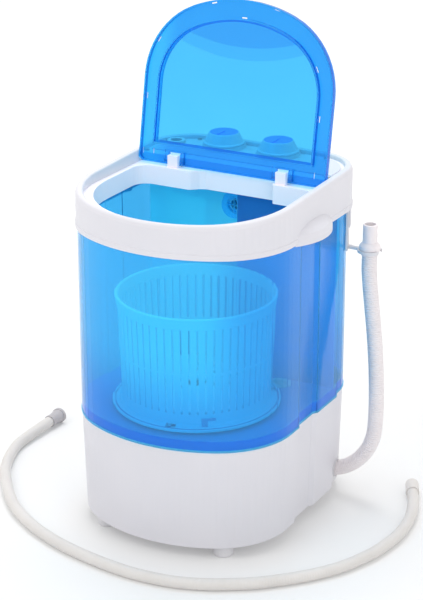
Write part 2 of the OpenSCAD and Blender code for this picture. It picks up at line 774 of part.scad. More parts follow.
module lid_panel() {
    color([0.3, 0.77, 0.97, 0.5])
    opened()
    union() {
        translate([0, 0, lid_z1 - lid_t]) linear_extrude(lid_t) polygon(lid_inner(0.15));
        // Thicker finger scoop towards the front of the lid
        translate([0, 0, lid_z1 - lid_t - 1.6])
        linear_extrude(1.7)
        intersection() {
            polygon(lid_inner(3.3));
            translate([0, lens_y]) circle(r = lens_r, $fn = 360);
        }
        translate([0, 0, lid_z1 - lid_t - 1])
        linear_extrude(1.1)
        intersection() {
            polygon(lid_inner(3.3));
            translate([0, crease_y]) difference() {
                circle(r = crease_r + 0.8, $fn = 360);
                circle(r = crease_r - 0.8, $fn = 360);
            }
        }
    }
}
module hinge_pins() {
    color(steel)
    for (x = lug_places)
        opened()
        translate([x - knuckle_l / 2, hinge_y, hinge_z])
            rotate([0, 90, 0]) cylinder(d = pin_d, h = knuckle_l, $fn = 32);
}

pulsator_z0 = floor_z + 2.5;
pulsator_t = 3;
hub_h = 18;
hub_r = 20;
shaft_top = pulsator_z0 + hub_h - 4;
shaft_bottom = belt_z - belt_h / 2 - 12;
peg_count = 3;
peg_z = pulsator_z0 + 2.5;
peg_h = 5;
peg_w = 4;
basket_z0 = pulsator_z0 + 1;
basket_z1 = basket_z0 + basket_h;
basket_foot_r = basket_r - 8.5;
basket_bore = basket_foot_r - basket_t;
pulsator_r = basket_bore - pulsator_gap;
flange_r = basket_r + 5;
module pulsator() {
    color(pale_blue)
    translate([pulley_x, pulley_y, pulsator_z0])
    difference() {
        union() {
            rotate_extrude($fn = 96)
            polygon([[0, 0], [pulsator_r - 6, 0], [pulsator_r, 2], [pulsator_r, 5], [pulsator_r - 4, 5.4],
                     [pulsator_r - 30, 5], [hub_r + 10, 9], [hub_r, hub_h - 2], [hub_r - 3, hub_h],
                     [0, hub_h]]);
            // Vanes that push the water
            for (a = [0:360 / vane_count:359])
                rotate([0, 0, a])
                intersection() {
                    translate([hub_r - 4, 0, 3])
                        rotate([0, 90, 0]) cylinder(r = 9, h = pulsator_r - hub_r - 10, $fn = 40);
                    translate([0, -9, 1]) cube([pulsator_r, 18, 14]);
                }
            // Pegs that lock into the basket
            for (a = [0:360 / peg_count:359])
                rotate([0, 0, a - 82]) translate([pulsator_r - 4, -peg_w / 2, peg_z - pulsator_z0])
                    cube([basket_foot_r - pulsator_r + 3.4, peg_w, peg_h]);
        }
        translate([0, 0, -1]) cylinder(d = shaft_d + 2 * run_gap, h = hub_h - 4 + 1, $fn = 48);
        translate([0, 0, hub_h - 6]) cylinder(d = 5.4, h = 8, $fn = 24);
        // Hollow below the disc
        difference() {
            translate([0, 0, -1]) cylinder(r = pulsator_r - 8, h = 1 + pulsator_t - 1, $fn = 96);
            translate([0, 0, -2]) cylinder(r = hub_r - 2, h = 8, $fn = 64);
        }
        // Drain holes
        for (a = [0:360 / vane_count:359])
            rotate([0, 0, a + 180 / vane_count])
            for (r = [20, 34, 48]) translate([pulsator_r - r, 0, -1]) cylinder(d = 6, h = 14, $fn = 24);
    }
}
module pulsator_screw() {
    color(steel)
    translate([pulley_x, pulley_y, pulsator_z0 + hub_h])
    difference() {
        union() {
            cylinder(d = 12, h = 3, $fn = 40);
            translate([0, 0, -4]) cylinder(d = 5, h = 4.5, $fn = 24);
        }
        translate([-5, -0.6, 1.8]) cube([10, 1.2, 2]);
        translate([-0.6, -5, 1.8]) cube([1.2, 10, 2]);
    }
}
module drive_shaft() {
    color(steel)
    translate([pulley_x, pulley_y, shaft_bottom])
        cylinder(d = shaft_d, h = shaft_top - shaft_bottom - fit_gap, $fn = 48);
}
seal_top = pulsator_z0 - 0.4;
housing_top = floor_z - floor_t;
module shaft_seal() {
    color([0.15, 0.15, 0.16])
    translate([pulley_x, pulley_y, housing_top])
    difference() {
        cylinder(d = bearing_hole_d - 2 * run_gap, h = seal_top - housing_top, $fn = 48);
        translate([0, 0, -1]) cylinder(d = shaft_d + 2 * run_gap, h = 12, $fn = 48);
        translate([0, 0, seal_top - housing_top - 1.4])
        difference() {
            cylinder(d = bearing_hole_d - 4, h = 3, $fn = 48);
            translate([0, 0, -1]) cylinder(d = shaft_d + 4, h = 5, $fn = 48);
        }
    }
}
bush_od = shaft_d + 10;
bush_h = 16;
housing_h = 84;
housing_d = bush_od + 16;
flange_d = 96;
module bearing_housing() {
    color([0.3, 0.31, 0.33])
    translate([pulley_x, pulley_y, housing_top])
    difference() {
        union() {
            translate([0, 0, -5]) cylinder(d = flange_d, h = 5, $fn = 72);
            translate([0, 0, -housing_h]) cylinder(d = housing_d, h = housing_h, $fn = 64);
            for (a = [0:60:300])
                rotate([0, 0, a]) translate([housing_d / 2 - 2, -2, -26])
                    cube([(flange_d - housing_d) / 2 - 4, 4, 22]);
        }
        translate([0, 0, -housing_h - 1]) cylinder(d = shaft_d + 4, h = housing_h + 2, $fn = 48);
        translate([0, 0, -bush_h]) cylinder(d = bush_od + 2 * run_gap, h = bush_h + 1, $fn = 48);
        translate([0, 0, -housing_h - 1]) cylinder(d = bush_od + 2 * run_gap, h = bush_h + 1, $fn = 48);
    }
}
module bush(z) {
    color(brass)
    translate([pulley_x, pulley_y, z])
    difference() {
        cylinder(d = bush_od, h = bush_h, $fn = 48);
        translate([0, 0, -1]) cylinder(d = shaft_d + 2 * run_gap, h = bush_h + 2, $fn = 48);
    }
}
module upper_bush() { bush(housing_top - bush_h); }
module lower_bush() { bush(housing_top - housing_h); }

groove = 3;
belt_t = 5;
hub_wall = 7;
hub_reach = 12;
spoke_room = 12;
motor_hub_wall = 5;
// Pulley with a belt groove, spokes and a hub that reaches from z = -hub_down to z = hub_up
module pulley(r, bore, hub, hub_up, hub_down, spokes) {
    difference() {
        union() {
            rotate_extrude($fn = 96)
            polygon([[0, -belt_h / 2 - 1], [r + 2, -belt_h / 2 - 1], [r + 2, -belt_h / 2],
                     [r - groove, -belt_h / 2 + 2], [r - groove, belt_h / 2 - 2], [r + 2, belt_h / 2],
                     [r + 2, belt_h / 2 + 1], [0, belt_h / 2 + 1]]);
            translate([0, 0, -hub_down]) cylinder(r = hub, h = hub_up + hub_down, $fn = 48);
        }
        translate([0, 0, -hub_down - 1]) cylinder(d = bore, h = hub_up + hub_down + 2, $fn = 40);
        if (spokes > 0)
            for (a = [0:360 / spokes:359])
                rotate([0, 0, a]) translate([(r - groove + hub) / 2, 0, -belt_h])
                    cylinder(d = r - groove - hub - spoke_room, h = 2 * belt_h, $fn = 40);
    }
}
module large_pulley() {
    color([0.85, 0.85, 0.86])
    translate([pulley_x, pulley_y, belt_z])
        pulley(pulley_r, shaft_d + 2 * run_gap, shaft_d / 2 + hub_wall, belt_h / 2 + hub_reach,
            belt_h / 2 + 2, 6);
}
module pulley_nut() {
    color(steel)
    translate([pulley_x, pulley_y, belt_z - belt_h / 2 - 2 - 6])
    difference() {
        cylinder(d = 22, h = 6, $fn = 6);
        translate([0, 0, -1]) cylinder(d = shaft_d + 2 * run_gap, h = 8, $fn = 40);
    }
}
belt_gap = 0.4;
// Loop round both pulleys at distance t outside their grooves
module belt_loop(t) {
    r1 = pulley_r - groove + t;
    r2 = motor_pulley_r - groove + t;
    a = acos((r1 - r2) / belt_span);
    polygon(concat(arc([pulley_x, motor_y], r2, 90 - a, 90 + a, 24),
        arc([pulley_x, pulley_y], r1, 90 + a, 450 - a, 72)));
}
module drive_belt() {
    color([0.12, 0.12, 0.13])
    translate([0, 0, belt_z - belt_h / 2 + 2.4])
    linear_extrude(belt_h - 4.8)
    difference() {
        belt_loop(belt_gap + belt_t);
        belt_loop(belt_gap);
    }
}
motor_pulley_z = belt_z;
motor_shaft_d = 8;
module motor() {
    color([0.55, 0.57, 0.6])
    translate([pulley_x, motor_y, motor_z0])
    difference() {
        union() {
            rotate_extrude($fn = 72)
            polygon([[0, 0], [18, 0], [20, 4], [motor_d / 2 - 3, 5], [motor_d / 2, 9], [motor_d / 2, 30],
                     [motor_d / 2 - 2.5, 31], [motor_d / 2 - 2.5, motor_h - 31], [motor_d / 2, motor_h - 30],
                     [motor_d / 2, motor_h - 9], [motor_d / 2 - 3, motor_h - 5], [20, motor_h - 4],
                     [18, motor_h], [0, motor_h]]);
            for (a = [45:90:315])
                rotate([0, 0, a]) translate([motor_d / 2 - 4, -6, motor_h - 16]) cube([15, 12, 6]);
        }
        translate([0, 0, -1]) cylinder(d = motor_shaft_d + 2 * run_gap, h = 22, $fn = 32);
        for (a = [45:90:315])
            rotate([0, 0, a]) translate([ear_r, 0, motor_h - 20])
                cylinder(d = screw_hole_d, h = 14, $fn = 24);
    }
}
module motor_shaft() {
    color(steel)
    translate([pulley_x, motor_y, belt_z - belt_h / 2 - 5])
        cylinder(d = motor_shaft_d, h = motor_z0 - belt_z + belt_h / 2 + 5 + 20.5, $fn = 32);
}
module motor_pulley() {
    color([0.35, 0.36, 0.38])
    translate([pulley_x, motor_y, motor_pulley_z])
        pulley(motor_pulley_r, motor_shaft_d + 2 * run_gap, motor_shaft_d / 2 + motor_hub_wall,
            belt_h / 2 + hub_reach / 2, belt_h / 2 + 3, 0);
}
bracket_t = 2.5;
bracket_z = motor_z0 + motor_h - 10;
bracket_edge = 8;
bracket_side = 9;
hanger_l = 44;
ear_r = motor_d / 2 + 6;
module motor_bracket() {
    half = motor_d / 2 + bracket_side;
    front = motor_y - motor_d / 2 - bracket_edge;
    color([0.6, 0.62, 0.64])
    difference() {
        union() {
            // Plate that the motor's ears hang from
            translate([pulley_x - half, front, bracket_z])
                cube([2 * half, motor_d + 2 * bracket_edge, bracket_t]);
            // Hangers up to the floor of the tub
            for (side = [-1, 1])
                translate([pulley_x + side * (half - bracket_t / 2), front, 0]) {
                    translate([-bracket_t / 2, 0, bracket_z])
                        cube([bracket_t, hanger_l, floor_z - floor_t - bracket_z]);
                    translate([-side * 5 - 6, 0, floor_z - floor_t - bracket_t])
                        cube([12, hanger_l, bracket_t]);
                }
        }
        translate([pulley_x, motor_y, bracket_z - 1]) cylinder(d = motor_d + 1, h = bracket_t + 2, $fn = 72);
        for (a = [45:90:315])
            translate([pulley_x, motor_y, bracket_z - 1])
            rotate([0, 0, a]) translate([ear_r, 0, 0])
                cylinder(d = screw_hole_d, h = bracket_t + 2, $fn = 24);
    }
}
module motor_screws() {
    color(steel)
    for (a = [45:90:315])
        translate([pulley_x + ear_r * cos(a), motor_y + ear_r * sin(a), bracket_z + bracket_t]) {
            cylinder(d = screw_d, h = 2.5, $fn = 24);
            translate([0, 0, -10]) cylinder(d = screw_d / 2, h = 10.5, $fn = 20);
        }
}
cap_x = -95;
cap_y = 40;
cap_d = 34;
cap_l = 58;
cap_z = base_z0 + plate_t + cap_d / 2 + 2;
module start_capacitor() {
    color([0.88, 0.88, 0.86])
    translate([cap_x, cap_y, cap_z])
    rotate([-90, 0, 0])
    union() {
        cylinder(d = cap_d, h = cap_l, $fn = 48);
        translate([0, 0, -2]) cylinder(d = cap_d - 3, h = 3, $fn = 48);
        for (x = [-6, 6]) translate([x - 0.4, -3, cap_l]) cube([0.8, 6, 9]);
    }
}
module capacitor_strap() {
    strap_w = 14;
    color(steel)
    translate([cap_x, cap_y + cap_l / 2 - strap_w / 2, 0])
    difference() {
        union() {
            translate([0, 0, cap_z]) rotate([-90, 0, 0]) cylinder(d = cap_d + 3, h = strap_w, $fn = 48);
            translate([-cap_d / 2 - 14, 0, base_z0 + plate_t]) cube([cap_d + 28, strap_w, 2]);
        }
        translate([0, -1, cap_z]) rotate([-90, 0, 0])
            cylinder(d = cap_d + 2 * run_gap, h = strap_w + 2, $fn = 48);
    }
}

sump_h = 34;
sump_z0 = floor_z - floor_t - sump_h;
module drain_sump() {
    color([0.7, 0.74, 0.8])
    translate([sump_x, sump_y, 0])
    difference() {
        union() {
            translate([0, 0, sump_z0]) cylinder(r = sump_r + 3, h = floor_z - floor_t - sump_z0, $fn = 48);
            translate([0, 0, floor_z - floor_t - 3]) cylinder(r = sump_r + 6, h = 3, $fn = 48);
        }
        translate([0, 0, sump_z0 + 3]) cylinder(r = sump_r, h = 60, $fn = 48);
        translate([0, 0, sump_z0 - 1]) cylinder(d = drain_pipe_d - 5, h = 10, $fn = 40);
    }
}
module drain_screen() {
    color(white)
    translate([sump_x, sump_y, floor_z])
    difference() {
        union() {
            cylinder(r = sump_r + 4, h = 1.6, $fn = 48);
            translate([0, 0, -floor_t]) cylinder(r = sump_r - fit_gap, h = floor_t + 0.5, $fn = 48);
        }
        translate([0, 0, -floor_t - 1]) cylinder(r = sump_r - 2.4, h = floor_t + 1, $fn = 48);
        for (i = [-2:2]) translate([i * 4.6 - 1.1, -sump_r + 4, -1]) cube([2.2, 2 * sump_r - 8, 4]);
    }
}
module drain_run(d, over) {
    translate([sump_x, sump_y, drain_z]) cylinder(d = d, h = sump_z0 - drain_z + over, $fn = 40);
    translate([sump_x, sump_y, drain_z]) rotate([-90, 0, 0]) cylinder(d = d, h = drain_y - sump_y, $fn = 40);
    translate([sump_x, drain_y, drain_z]) rotate([0, 90, 0])
        cylinder(d = d, h = drain_start_x - sump_x + over, $fn = 40);
    for (y = [sump_y, drain_y]) translate([sump_x, y, drain_z]) sphere(d = d, $fn = 40);
}
module drain_pipe() {
    color([0.78, 0.8, 0.84])
    difference() {
        drain_run(drain_pipe_d, 0);
        drain_run(drain_pipe_d - 5, 1);
    }
}

cover_w = service_w + 26;
cover_h = service_h + 26;
cover_z = service_z - 13;
cover_edge = 2.4;
cover_corner = 14;
module rounded(w, h, r) {
    for (x = [r, w - r]) for (y = [r, h - r]) translate([x, y]) circle(r = r, $fn = 48);
    translate([r, 0]) square([w - 2 * r, h]);
    translate([0, r]) square([w, h - 2 * r]);
}
cover_screws = [[-cover_w / 2 + 7, cover_z + 16], [cover_w / 2 - 7, cover_z + 16],
    [-cover_w / 2 + 7, cover_z + cover_h - 16], [cover_w / 2 - 7, cover_z + cover_h - 16]];
module rear_cover() {
    color(white)
    difference() {
        union() {
            translate([-cover_w / 2, body_back + cover_edge, cover_z]) rotate([90, 0, 0])
                linear_extrude(cover_edge) rounded(cover_w, cover_h, cover_corner);
            translate([-cover_w / 2 + 14, body_d / 2, cover_z + 14]) rotate([90, 0, 0])
                linear_extrude(cover_proud) rounded(cover_w - 28, cover_h - 28, cover_corner);
        }
        translate([-cover_w / 2 + 16.4, body_d / 2 - 2.2, cover_z + 16.4]) rotate([90, 0, 0])
            linear_extrude(10) rounded(cover_w - 32.8, cover_h - 32.8, cover_corner - 2.4);
        for (p = cover_screws)
            translate([p[0], body_back - 1, p[1]]) rotate([-90, 0, 0])
                cylinder(d = screw_hole_d, h = 8, $fn = 24);
        // Louvres
        for (i = [0:5])
            translate([-40, body_back, cover_z + 36 + i * 9]) cube([80, 10, 3]);
    }
}
module rear_cover_screws() {
    color(steel)
    for (p = cover_screws)
        translate([p[0], body_back + cover_edge, p[1]]) rotate([-90, 0, 0]) screw_head(0, 0, 0);
}
module base_screws() {
    color(steel)
    for (b = boss_places) screw_head(b[0], b[1], base_z0, screw_d, 0);
}
module cord_gland() {
    y = frame_back - base_inset(gland_z);
    color([0.2, 0.2, 0.22])
    translate([gland_x, y, gland_z])
    rotate([90, 0, 0])
    difference() {
        union() {
            translate([0, 0, -4.1]) cylinder(d1 = gland_d + 3, d2 = gland_d + 7, h = 3.5, $fn = 48);
            translate([0, 0, -1]) cylinder(d = gland_d, h = 14, $fn = 48);
            translate([0, 0, base_t + 1]) cylinder(d = gland_d + 7, h = 4, $fn = 6);
        }
        translate([0, 0, -5]) cylinder(d = 7, h = 20, $fn = 32);
    }
}

slot_low = basket_z0 + 22;
slot_mid = basket_z0 + 80;
slot_bar = 3;
slot_high = basket_z1 - 17;
rim_h = 15;
hole_rows = 4;
hole_step = (basket_bore - 24.6) / hole_rows;
basket_floor_z = pulsator_z0 + hub_h + 6;
basket_floor_t = 2.5;
floor_ledge_w = 3;
module slot_ring(z0, z1) {
    for (i = [0:slot_count - 1])
        rotate([0, 0, i * 360 / slot_count])
        translate([basket_bore - 4, -slot_w / 2, z0]) cube([basket_r - basket_bore + 8, slot_w, z1 - z0]);
}
module spin_basket() {
    color(pale_blue)
    translate([pulley_x, pulley_y, 0])
    difference() {
        union() {
            rotate_extrude($fn = 120)
            polygon([[basket_bore, basket_z0], [flange_r - 1, basket_z0], [flange_r, basket_z0 + 1],
                     [flange_r, basket_z0 + 3.6], [basket_foot_r + 4, basket_z0 + 5],
                     [basket_foot_r, basket_z0 + 8], [basket_r - 3.4, basket_z1 - rim_h - 1],
                     [basket_r - 2, basket_z1 - rim_h], [basket_r, basket_z1 - 1.5],
                     [basket_r - 1.2, basket_z1], [basket_r - basket_t - 1.4, basket_z1],
                     [basket_r - basket_t - 2.6, basket_z1 - 1.6],
                     [basket_r - basket_t - 3.8, basket_z1 - rim_h], [basket_bore, basket_z0 + 8]]);
            // Ledge that the perforated floor lies on
            translate([0, 0, basket_floor_z - 2])
            difference() {
                cylinder(r = basket_bore + 1, h = 2, $fn = 120);
                translate([0, 0, -1]) cylinder(r = basket_bore - floor_ledge_w, h = 4, $fn = 120);
            }
        }
        slot_ring(slot_low, slot_mid);
        slot_ring(slot_mid + slot_bar, slot_high);
        // Bayonet slots: up from the foot, then sideways
        for (a = [0:360 / peg_count:359])
            rotate([0, 0, a - 82]) {
                translate([basket_bore - 3, -peg_w / 2 - 1, basket_z0 - 1])
                    cube([14, peg_w + 2, peg_z + peg_h + fit_gap - basket_z0 + 1]);
                translate([basket_bore - 3, -peg_w / 2 - 1, peg_z - fit_gap])
                    cube([14, 14, peg_h + 2 * fit_gap]);
            }
    }
}

// Perforated floor above the pulsator
module basket_floor() {
    color(pale_blue)
    translate([pulley_x, pulley_y, basket_floor_z])
    difference() {
        cylinder(r = basket_bore - fit_gap, h = basket_floor_t, $fn = 120);
        translate([0, 0, -1]) cylinder(r = 14, h = basket_floor_t + 2, $fn = 48);
        for (ring = [1:hole_rows]) for (i = [0:ring * 6 - 1])
            rotate([0, 0, i * 60 / ring + ring * 12]) translate([ring * hole_step + 6, 0, -1])
                cylinder(d = 7, h = basket_floor_t + 2, $fn = 24);
    }
}

// Length table along a route, and the point at a length along it
function curve_point(p, i, u) = let(n = len(p), a = p[max(i - 1, 0)], b = p[i], c = p[min(i + 1, n - 1)],
    d = p[min(i + 2, n - 1)])
    0.5 * (2 * b + (c - a) * u + (2 * a - 5 * b + 4 * c - d) * u * u + (3 * b - a - 3 * c + d) * u * u * u);
function dense(p) = concat([for (i = [0:len(p) - 2]) for (k = [0:5]) curve_point(p, i, k / 6)],
    [p[len(p) - 1]]);
function lengths(q) = let(n = len(q))
    [for (i = 0, s = 0; i < n; s = s + (i + 1 < n ? norm(q[i + 1] - q[i]) : 0), i = i + 1) s];
function table(q, s, k) = [for (i = [0:len(q) - 1]) [s[i], q[i][k]]];
function tables(p) = let(q = dense(p), s = lengths(q))
    [table(q, s, 0), table(q, s, 1), table(q, s, 2), s[len(s) - 1]];
function at(tb, s) = [lookup(s, tb[0]), lookup(s, tb[1]), lookup(s, tb[2])];
function heading(tb, s) = let(d = at(tb, min(s + 3, tb[3])) - at(tb, max(s - 3, 0))) d / norm(d);
function tube_ring(tb, s, r, n, ref) = let(t = heading(tb, s), u = cross(t, ref) / norm(cross(t, ref)),
    v = cross(t, u), c = at(tb, s))
    [for (i = [0:n - 1]) c + r * (cos(360 * i / n) * u + sin(360 * i / n) * v)];

drain_route = [[99, 120, 34], [111, 120, 34], [123, 120, 34], [146, 120, 37], [169, 120, 46], [188, 120, 61],
    [202, 120, 80], [211, 120, 102], [214, 120, 128], [214, 121, 165], [211, 123, 215], [206, 125, 262],
    [199, 128, 308], [194, 130, 342], [192, 131, 360], [192, 131, 372], [192, 131, 384]];
rib_pitch = 3.4;
module drain_hose() {
    tb = tables(drain_route);
    total = tb[3];
    ribs = floor((total - 4) / rib_pitch);
    step = total / ribs;
    outer = [for (i = [0:ribs - 1]) for (k = [0, 1])
        tube_ring(tb, (i + 0.25 + 0.5 * k) * step, (k == 0 ? drain_d : drain_root_d) / 2, 8, [0, 1, 0])];
    bore_steps = 40;
    inner = [for (i = [bore_steps:-1:0])
        tube_ring(tb, total * i / bore_steps, drain_bore / 2, 8, [0, 1, 0])];
    color([0.9, 0.9, 0.92])
    closed_loft(concat([tube_ring(tb, 0, drain_root_d / 2, 8, [0, 1, 0])], outer,
        [tube_ring(tb, total, drain_root_d / 2, 8, [0, 1, 0])], inner));
}
collar_d = 31;
collar_z = drain_route[len(drain_route) - 1][2];
collar_x = drain_route[len(drain_route) - 1][0];
collar_y = drain_route[len(drain_route) - 1][1];
collar_h = 18;
nozzle_d = 21.5;
nozzle_l = 28;
module drain_hose_nozzle() {
    color([0.92, 0.92, 0.94])
    translate([collar_x, collar_y, collar_z])
    difference() {
        rotate_extrude($fn = 64)
        polygon([[0, 0], [drain_d / 2 + 1.2, 0], [collar_d / 2, 9], [collar_d / 2, collar_h - 4],
                 [collar_d / 2 - 3.4, collar_h], [nozzle_d / 2, collar_h + 1],
                 [nozzle_d / 2, collar_h + nozzle_l - 1], [nozzle_d / 2 - 0.8, collar_h + nozzle_l],
                 [0, collar_h + nozzle_l]]);
        translate([0, 0, -1]) cylinder(d = drain_bore, h = collar_h + nozzle_l + 2, $fn = 48);
    }
}
// White strip on the body's rear right corner, with an arm to a ring round the hose's collar
clip_z0 = collar_z + 1;
clip_z1 = frame_z0 - fit_gap;
clip_ring_z = collar_z + 4;
clip_a = 17;
clip_in = rear_r - tub_in + fit_gap;
module hose_clip() {
    color(white)
    difference() {
        union() {
            translate([frame_hw - rear_step - rear_r, frame_back - rear_r, 0])
            rotate([0, 0, clip_a]) {
                translate([clip_in, -8.5, clip_z0]) cube([3, 17, clip_z1 - clip_z0]);
                translate([clip_in, -6.5, clip_z1 - 29]) cube([5.5, 13, 29]);
                translate([clip_in + 1, -3, clip_ring_z]) cube([8, 6, 4]);
            }
            translate([collar_x - collar_d / 2 - 20, collar_y - 3, clip_ring_z]) cube([20, 6, 4]);
            translate([collar_x, collar_y, clip_ring_z]) cylinder(d = collar_d + 5, h = 4, $fn = 64);
        }
        translate([collar_x, collar_y, clip_ring_z - 1])
            cylinder(d = collar_d + 2 * fit_gap, h = 6, $fn = 64);
        translate([collar_x + 4, collar_y - 7, clip_ring_z - 1]) cube([30, 14, 6]);
    }
}

inlet_route = [[-353, 100, 12], [-353, 90, 12], [-353, 80, 12], [-355, 48, 10], [-354, 12, 8.5],
    [-347, -14, 8.5], [-337, -40, 8.5], [-325, -64, 8.5], [-310, -88, 8.5], [-293, -109, 8.5],
    [-274, -132, 8.5], [-253, -154, 8.5], [-228, -176, 8.5], [-200, -195, 8.5], [-176, -209, 8.5],
    [-150, -221, 8.5], [-116, -234, 8.5], [-80, -244, 8.5], [-45, -251, 8.5], [-10, -256, 8.5],
    [22, -258, 8.5], [53, -256, 8.5], [80, -252, 8.5], [106, -244, 8.5], [130, -234, 8.5],
    [151, -222, 8.5], [180, -203, 8.5], [205, -181, 8.5], [232, -153, 8.5], [255, -123, 8.5],
    [270, -97, 8.5], [281, -70, 8.5], [290, -42, 8.5], [295, -13, 8.5], [298, 14, 8.5], [297, 45, 8.5],
    [291, 83, 8.5], [279, 121, 10], [272, 136, 10], [265, 151, 10]];
hose_step = 34;
module inlet_hose() {
    tb = tables(inlet_route);
    total = tb[3];
    n = round(total / hose_step);
    color([0.88, 0.88, 0.9])
    closed_loft(concat(
        [for (i = [0:n]) tube_ring(tb, total * i / n, inlet_hose_d / 2, 10, [0, 0, 1])],
        [for (i = [n:-1:0]) tube_ring(tb, total * i / n, inlet_hose_bore / 2, 10, [0, 0, 1])]));
}
adapter_l = 31;
module inlet_adapter() {
    p = inlet_route[0];
    color(white)
    translate([p[0], p[1], p[2]])
    rotate([-90, 0, 0])
    difference() {
        rotate_extrude($fn = 48)
        polygon([[0, 0], [inlet_hose_d / 2 + 1.3, 0], [inlet_hose_d / 2 + 1.3, 6],
                 [inlet_hose_d / 2 + 0.4, 7], [11, adapter_l - 5], [12, adapter_l - 5],
                 [12, adapter_l], [0, adapter_l]]);
        translate([0, 0, -1]) cylinder(d = inlet_hose_bore + 1, h = adapter_l + 2, $fn = 40);
        translate([0, 0, 10]) cylinder(d = 18, h = adapter_l, $fn = 40);
    }
}
cuff_l = 28;
module inlet_cuff() {
    n = len(inlet_route);
    p = inlet_route[n - 1];
    q = inlet_route[n - 2];
    color(white)
    translate(p)
    rotate([0, 0, atan2(p[1] - q[1], p[0] - q[0])])
    rotate([0, 90, 0])
    difference() {
        union() {
            cylinder(d = 20, h = cuff_l, $fn = 48);
            for (z = [3, cuff_l - 5]) translate([0, 0, z]) cylinder(d = 20, h = 2, $fn = 48);
        }
        translate([0, 0, -1]) cylinder(d = inlet_hose_bore, h = cuff_l + 2, $fn = 40);
        translate([0, 0, 8]) cylinder(d = 16, h = cuff_l, $fn = 40);
    }
}

base_shell();
base_plate();
feet();
wash_tub();
tub_wall();
tub_floor();
top_frame();
lid_seat();
rear_deck();
control_panel();
panel_screws();
inlet_port();
inlet_pipe();
overflow_ring();
wash_knob();
spin_knob();
wash_spindle();
spin_spindle();
wash_timer();
spin_timer();
lid_rim();
lid_panel();
hinge_pins();
pulsator();
pulsator_screw();
drive_shaft();
shaft_seal();
bearing_housing();
upper_bush();
lower_bush();
large_pulley();
pulley_nut();
drive_belt();
motor();
motor_shaft();
motor_pulley();
motor_bracket();
motor_screws();
start_capacitor();
capacitor_strap();
drain_sump();
drain_screen();
drain_pipe();
rear_cover();
rear_cover_screws();
base_screws();
cord_gland();
spin_basket();
basket_floor();
drain_hose();
drain_hose_nozzle();
hose_clip();
inlet_hose();
inlet_adapter();
inlet_cuff();
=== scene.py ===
import math

import bmesh
import bpy
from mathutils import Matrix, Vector
from mathutils.bvhtree import BVHTree


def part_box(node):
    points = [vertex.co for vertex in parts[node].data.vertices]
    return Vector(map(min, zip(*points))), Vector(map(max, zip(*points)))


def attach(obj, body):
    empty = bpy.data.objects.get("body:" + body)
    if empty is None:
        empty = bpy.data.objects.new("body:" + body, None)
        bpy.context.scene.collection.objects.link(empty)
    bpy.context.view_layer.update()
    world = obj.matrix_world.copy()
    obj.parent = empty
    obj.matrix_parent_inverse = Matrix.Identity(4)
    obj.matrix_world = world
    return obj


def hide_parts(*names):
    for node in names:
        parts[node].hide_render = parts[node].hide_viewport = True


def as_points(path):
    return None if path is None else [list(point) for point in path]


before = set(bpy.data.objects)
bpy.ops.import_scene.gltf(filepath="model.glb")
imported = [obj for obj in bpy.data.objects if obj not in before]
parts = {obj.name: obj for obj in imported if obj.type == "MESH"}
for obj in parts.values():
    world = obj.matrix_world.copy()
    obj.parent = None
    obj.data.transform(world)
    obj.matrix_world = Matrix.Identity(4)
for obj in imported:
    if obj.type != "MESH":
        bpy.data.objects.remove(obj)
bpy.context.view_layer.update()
scene = bpy.context.scene
scene.view_settings.view_transform = "Standard"
MM = 0.001
ALONG_X, ALONG_Y, ALONG_Z, ROUND_Z = (1, 0, 0), (0, 1, 0), (0, 0, 1), (1, 1, 0)

# Camera at the photograph's viewing angle
CAMERA_PLACE = (1.2191, -2.2052, 1.2868)
CAMERA_TILT, CAMERA_TURN = 69.481, 28.587
camera_data = bpy.data.cameras.new("camera")
camera_data.lens = 112.267
camera_data.sensor_width = 36
camera_data.shift_x = -0.0140
camera_data.shift_y = -0.0233
camera = bpy.data.objects.new("camera", camera_data)
camera.location = CAMERA_PLACE
camera.rotation_euler = (math.radians(CAMERA_TILT), 0, math.radians(CAMERA_TURN))
scene.collection.objects.link(camera)
scene.camera = camera

# Hoses: a smooth route through its stops, and a ribbed tube along it
ROUTE_STEPS = 6
HEADING_REACH = 3 * MM
RIB_FULLNESS = 0.7


def smooth_route(stops):
    """A smooth curve through the stops, which are in millimetres, as points in metres."""
    stops = [Vector(stop) * MM for stop in stops]
    route = []
    for i in range(len(stops) - 1):
        a, b, c, d = (stops[min(max(k, 0), len(stops) - 1)] for k in range(i - 1, i + 3))
        for step in range(ROUTE_STEPS):
            u = step / ROUTE_STEPS
            route.append(
                (b * 2 + (c - a) * u + (a * 2 - b * 5 + c * 4 - d) * u**2
                 + (b * 3 - a - c * 3 + d) * u**3) / 2
            )
    return route + [stops[-1]]


def route_length(route):
    return sum((b - a).length for a, b in zip(route, route[1:]))


def places_along(route, count):
    """Evenly spaced (point, heading) pairs along the route."""
    gone = [0.0]
    for a, b in zip(route, route[1:]):
        gone.append(gone[-1] + (b - a).length)

    def point_at(s):
        s = min(max(s, 0.0), gone[-1])
        i = next(k for k in range(1, len(gone)) if s <= gone[k] + 1e-12)
        return route[i - 1].lerp(route[i], (s - gone[i - 1]) / (gone[i] - gone[i - 1]))

    for k in range(count + 1):
        s = gone[-1] * k / count
        heading = (point_at(s + HEADING_REACH) - point_at(s - HEADING_REACH)).normalized()
        yield point_at(s), heading


def new_piece(name, data):
    piece = bpy.data.objects.new(name, data)
    scene.collection.objects.link(piece)
    return piece


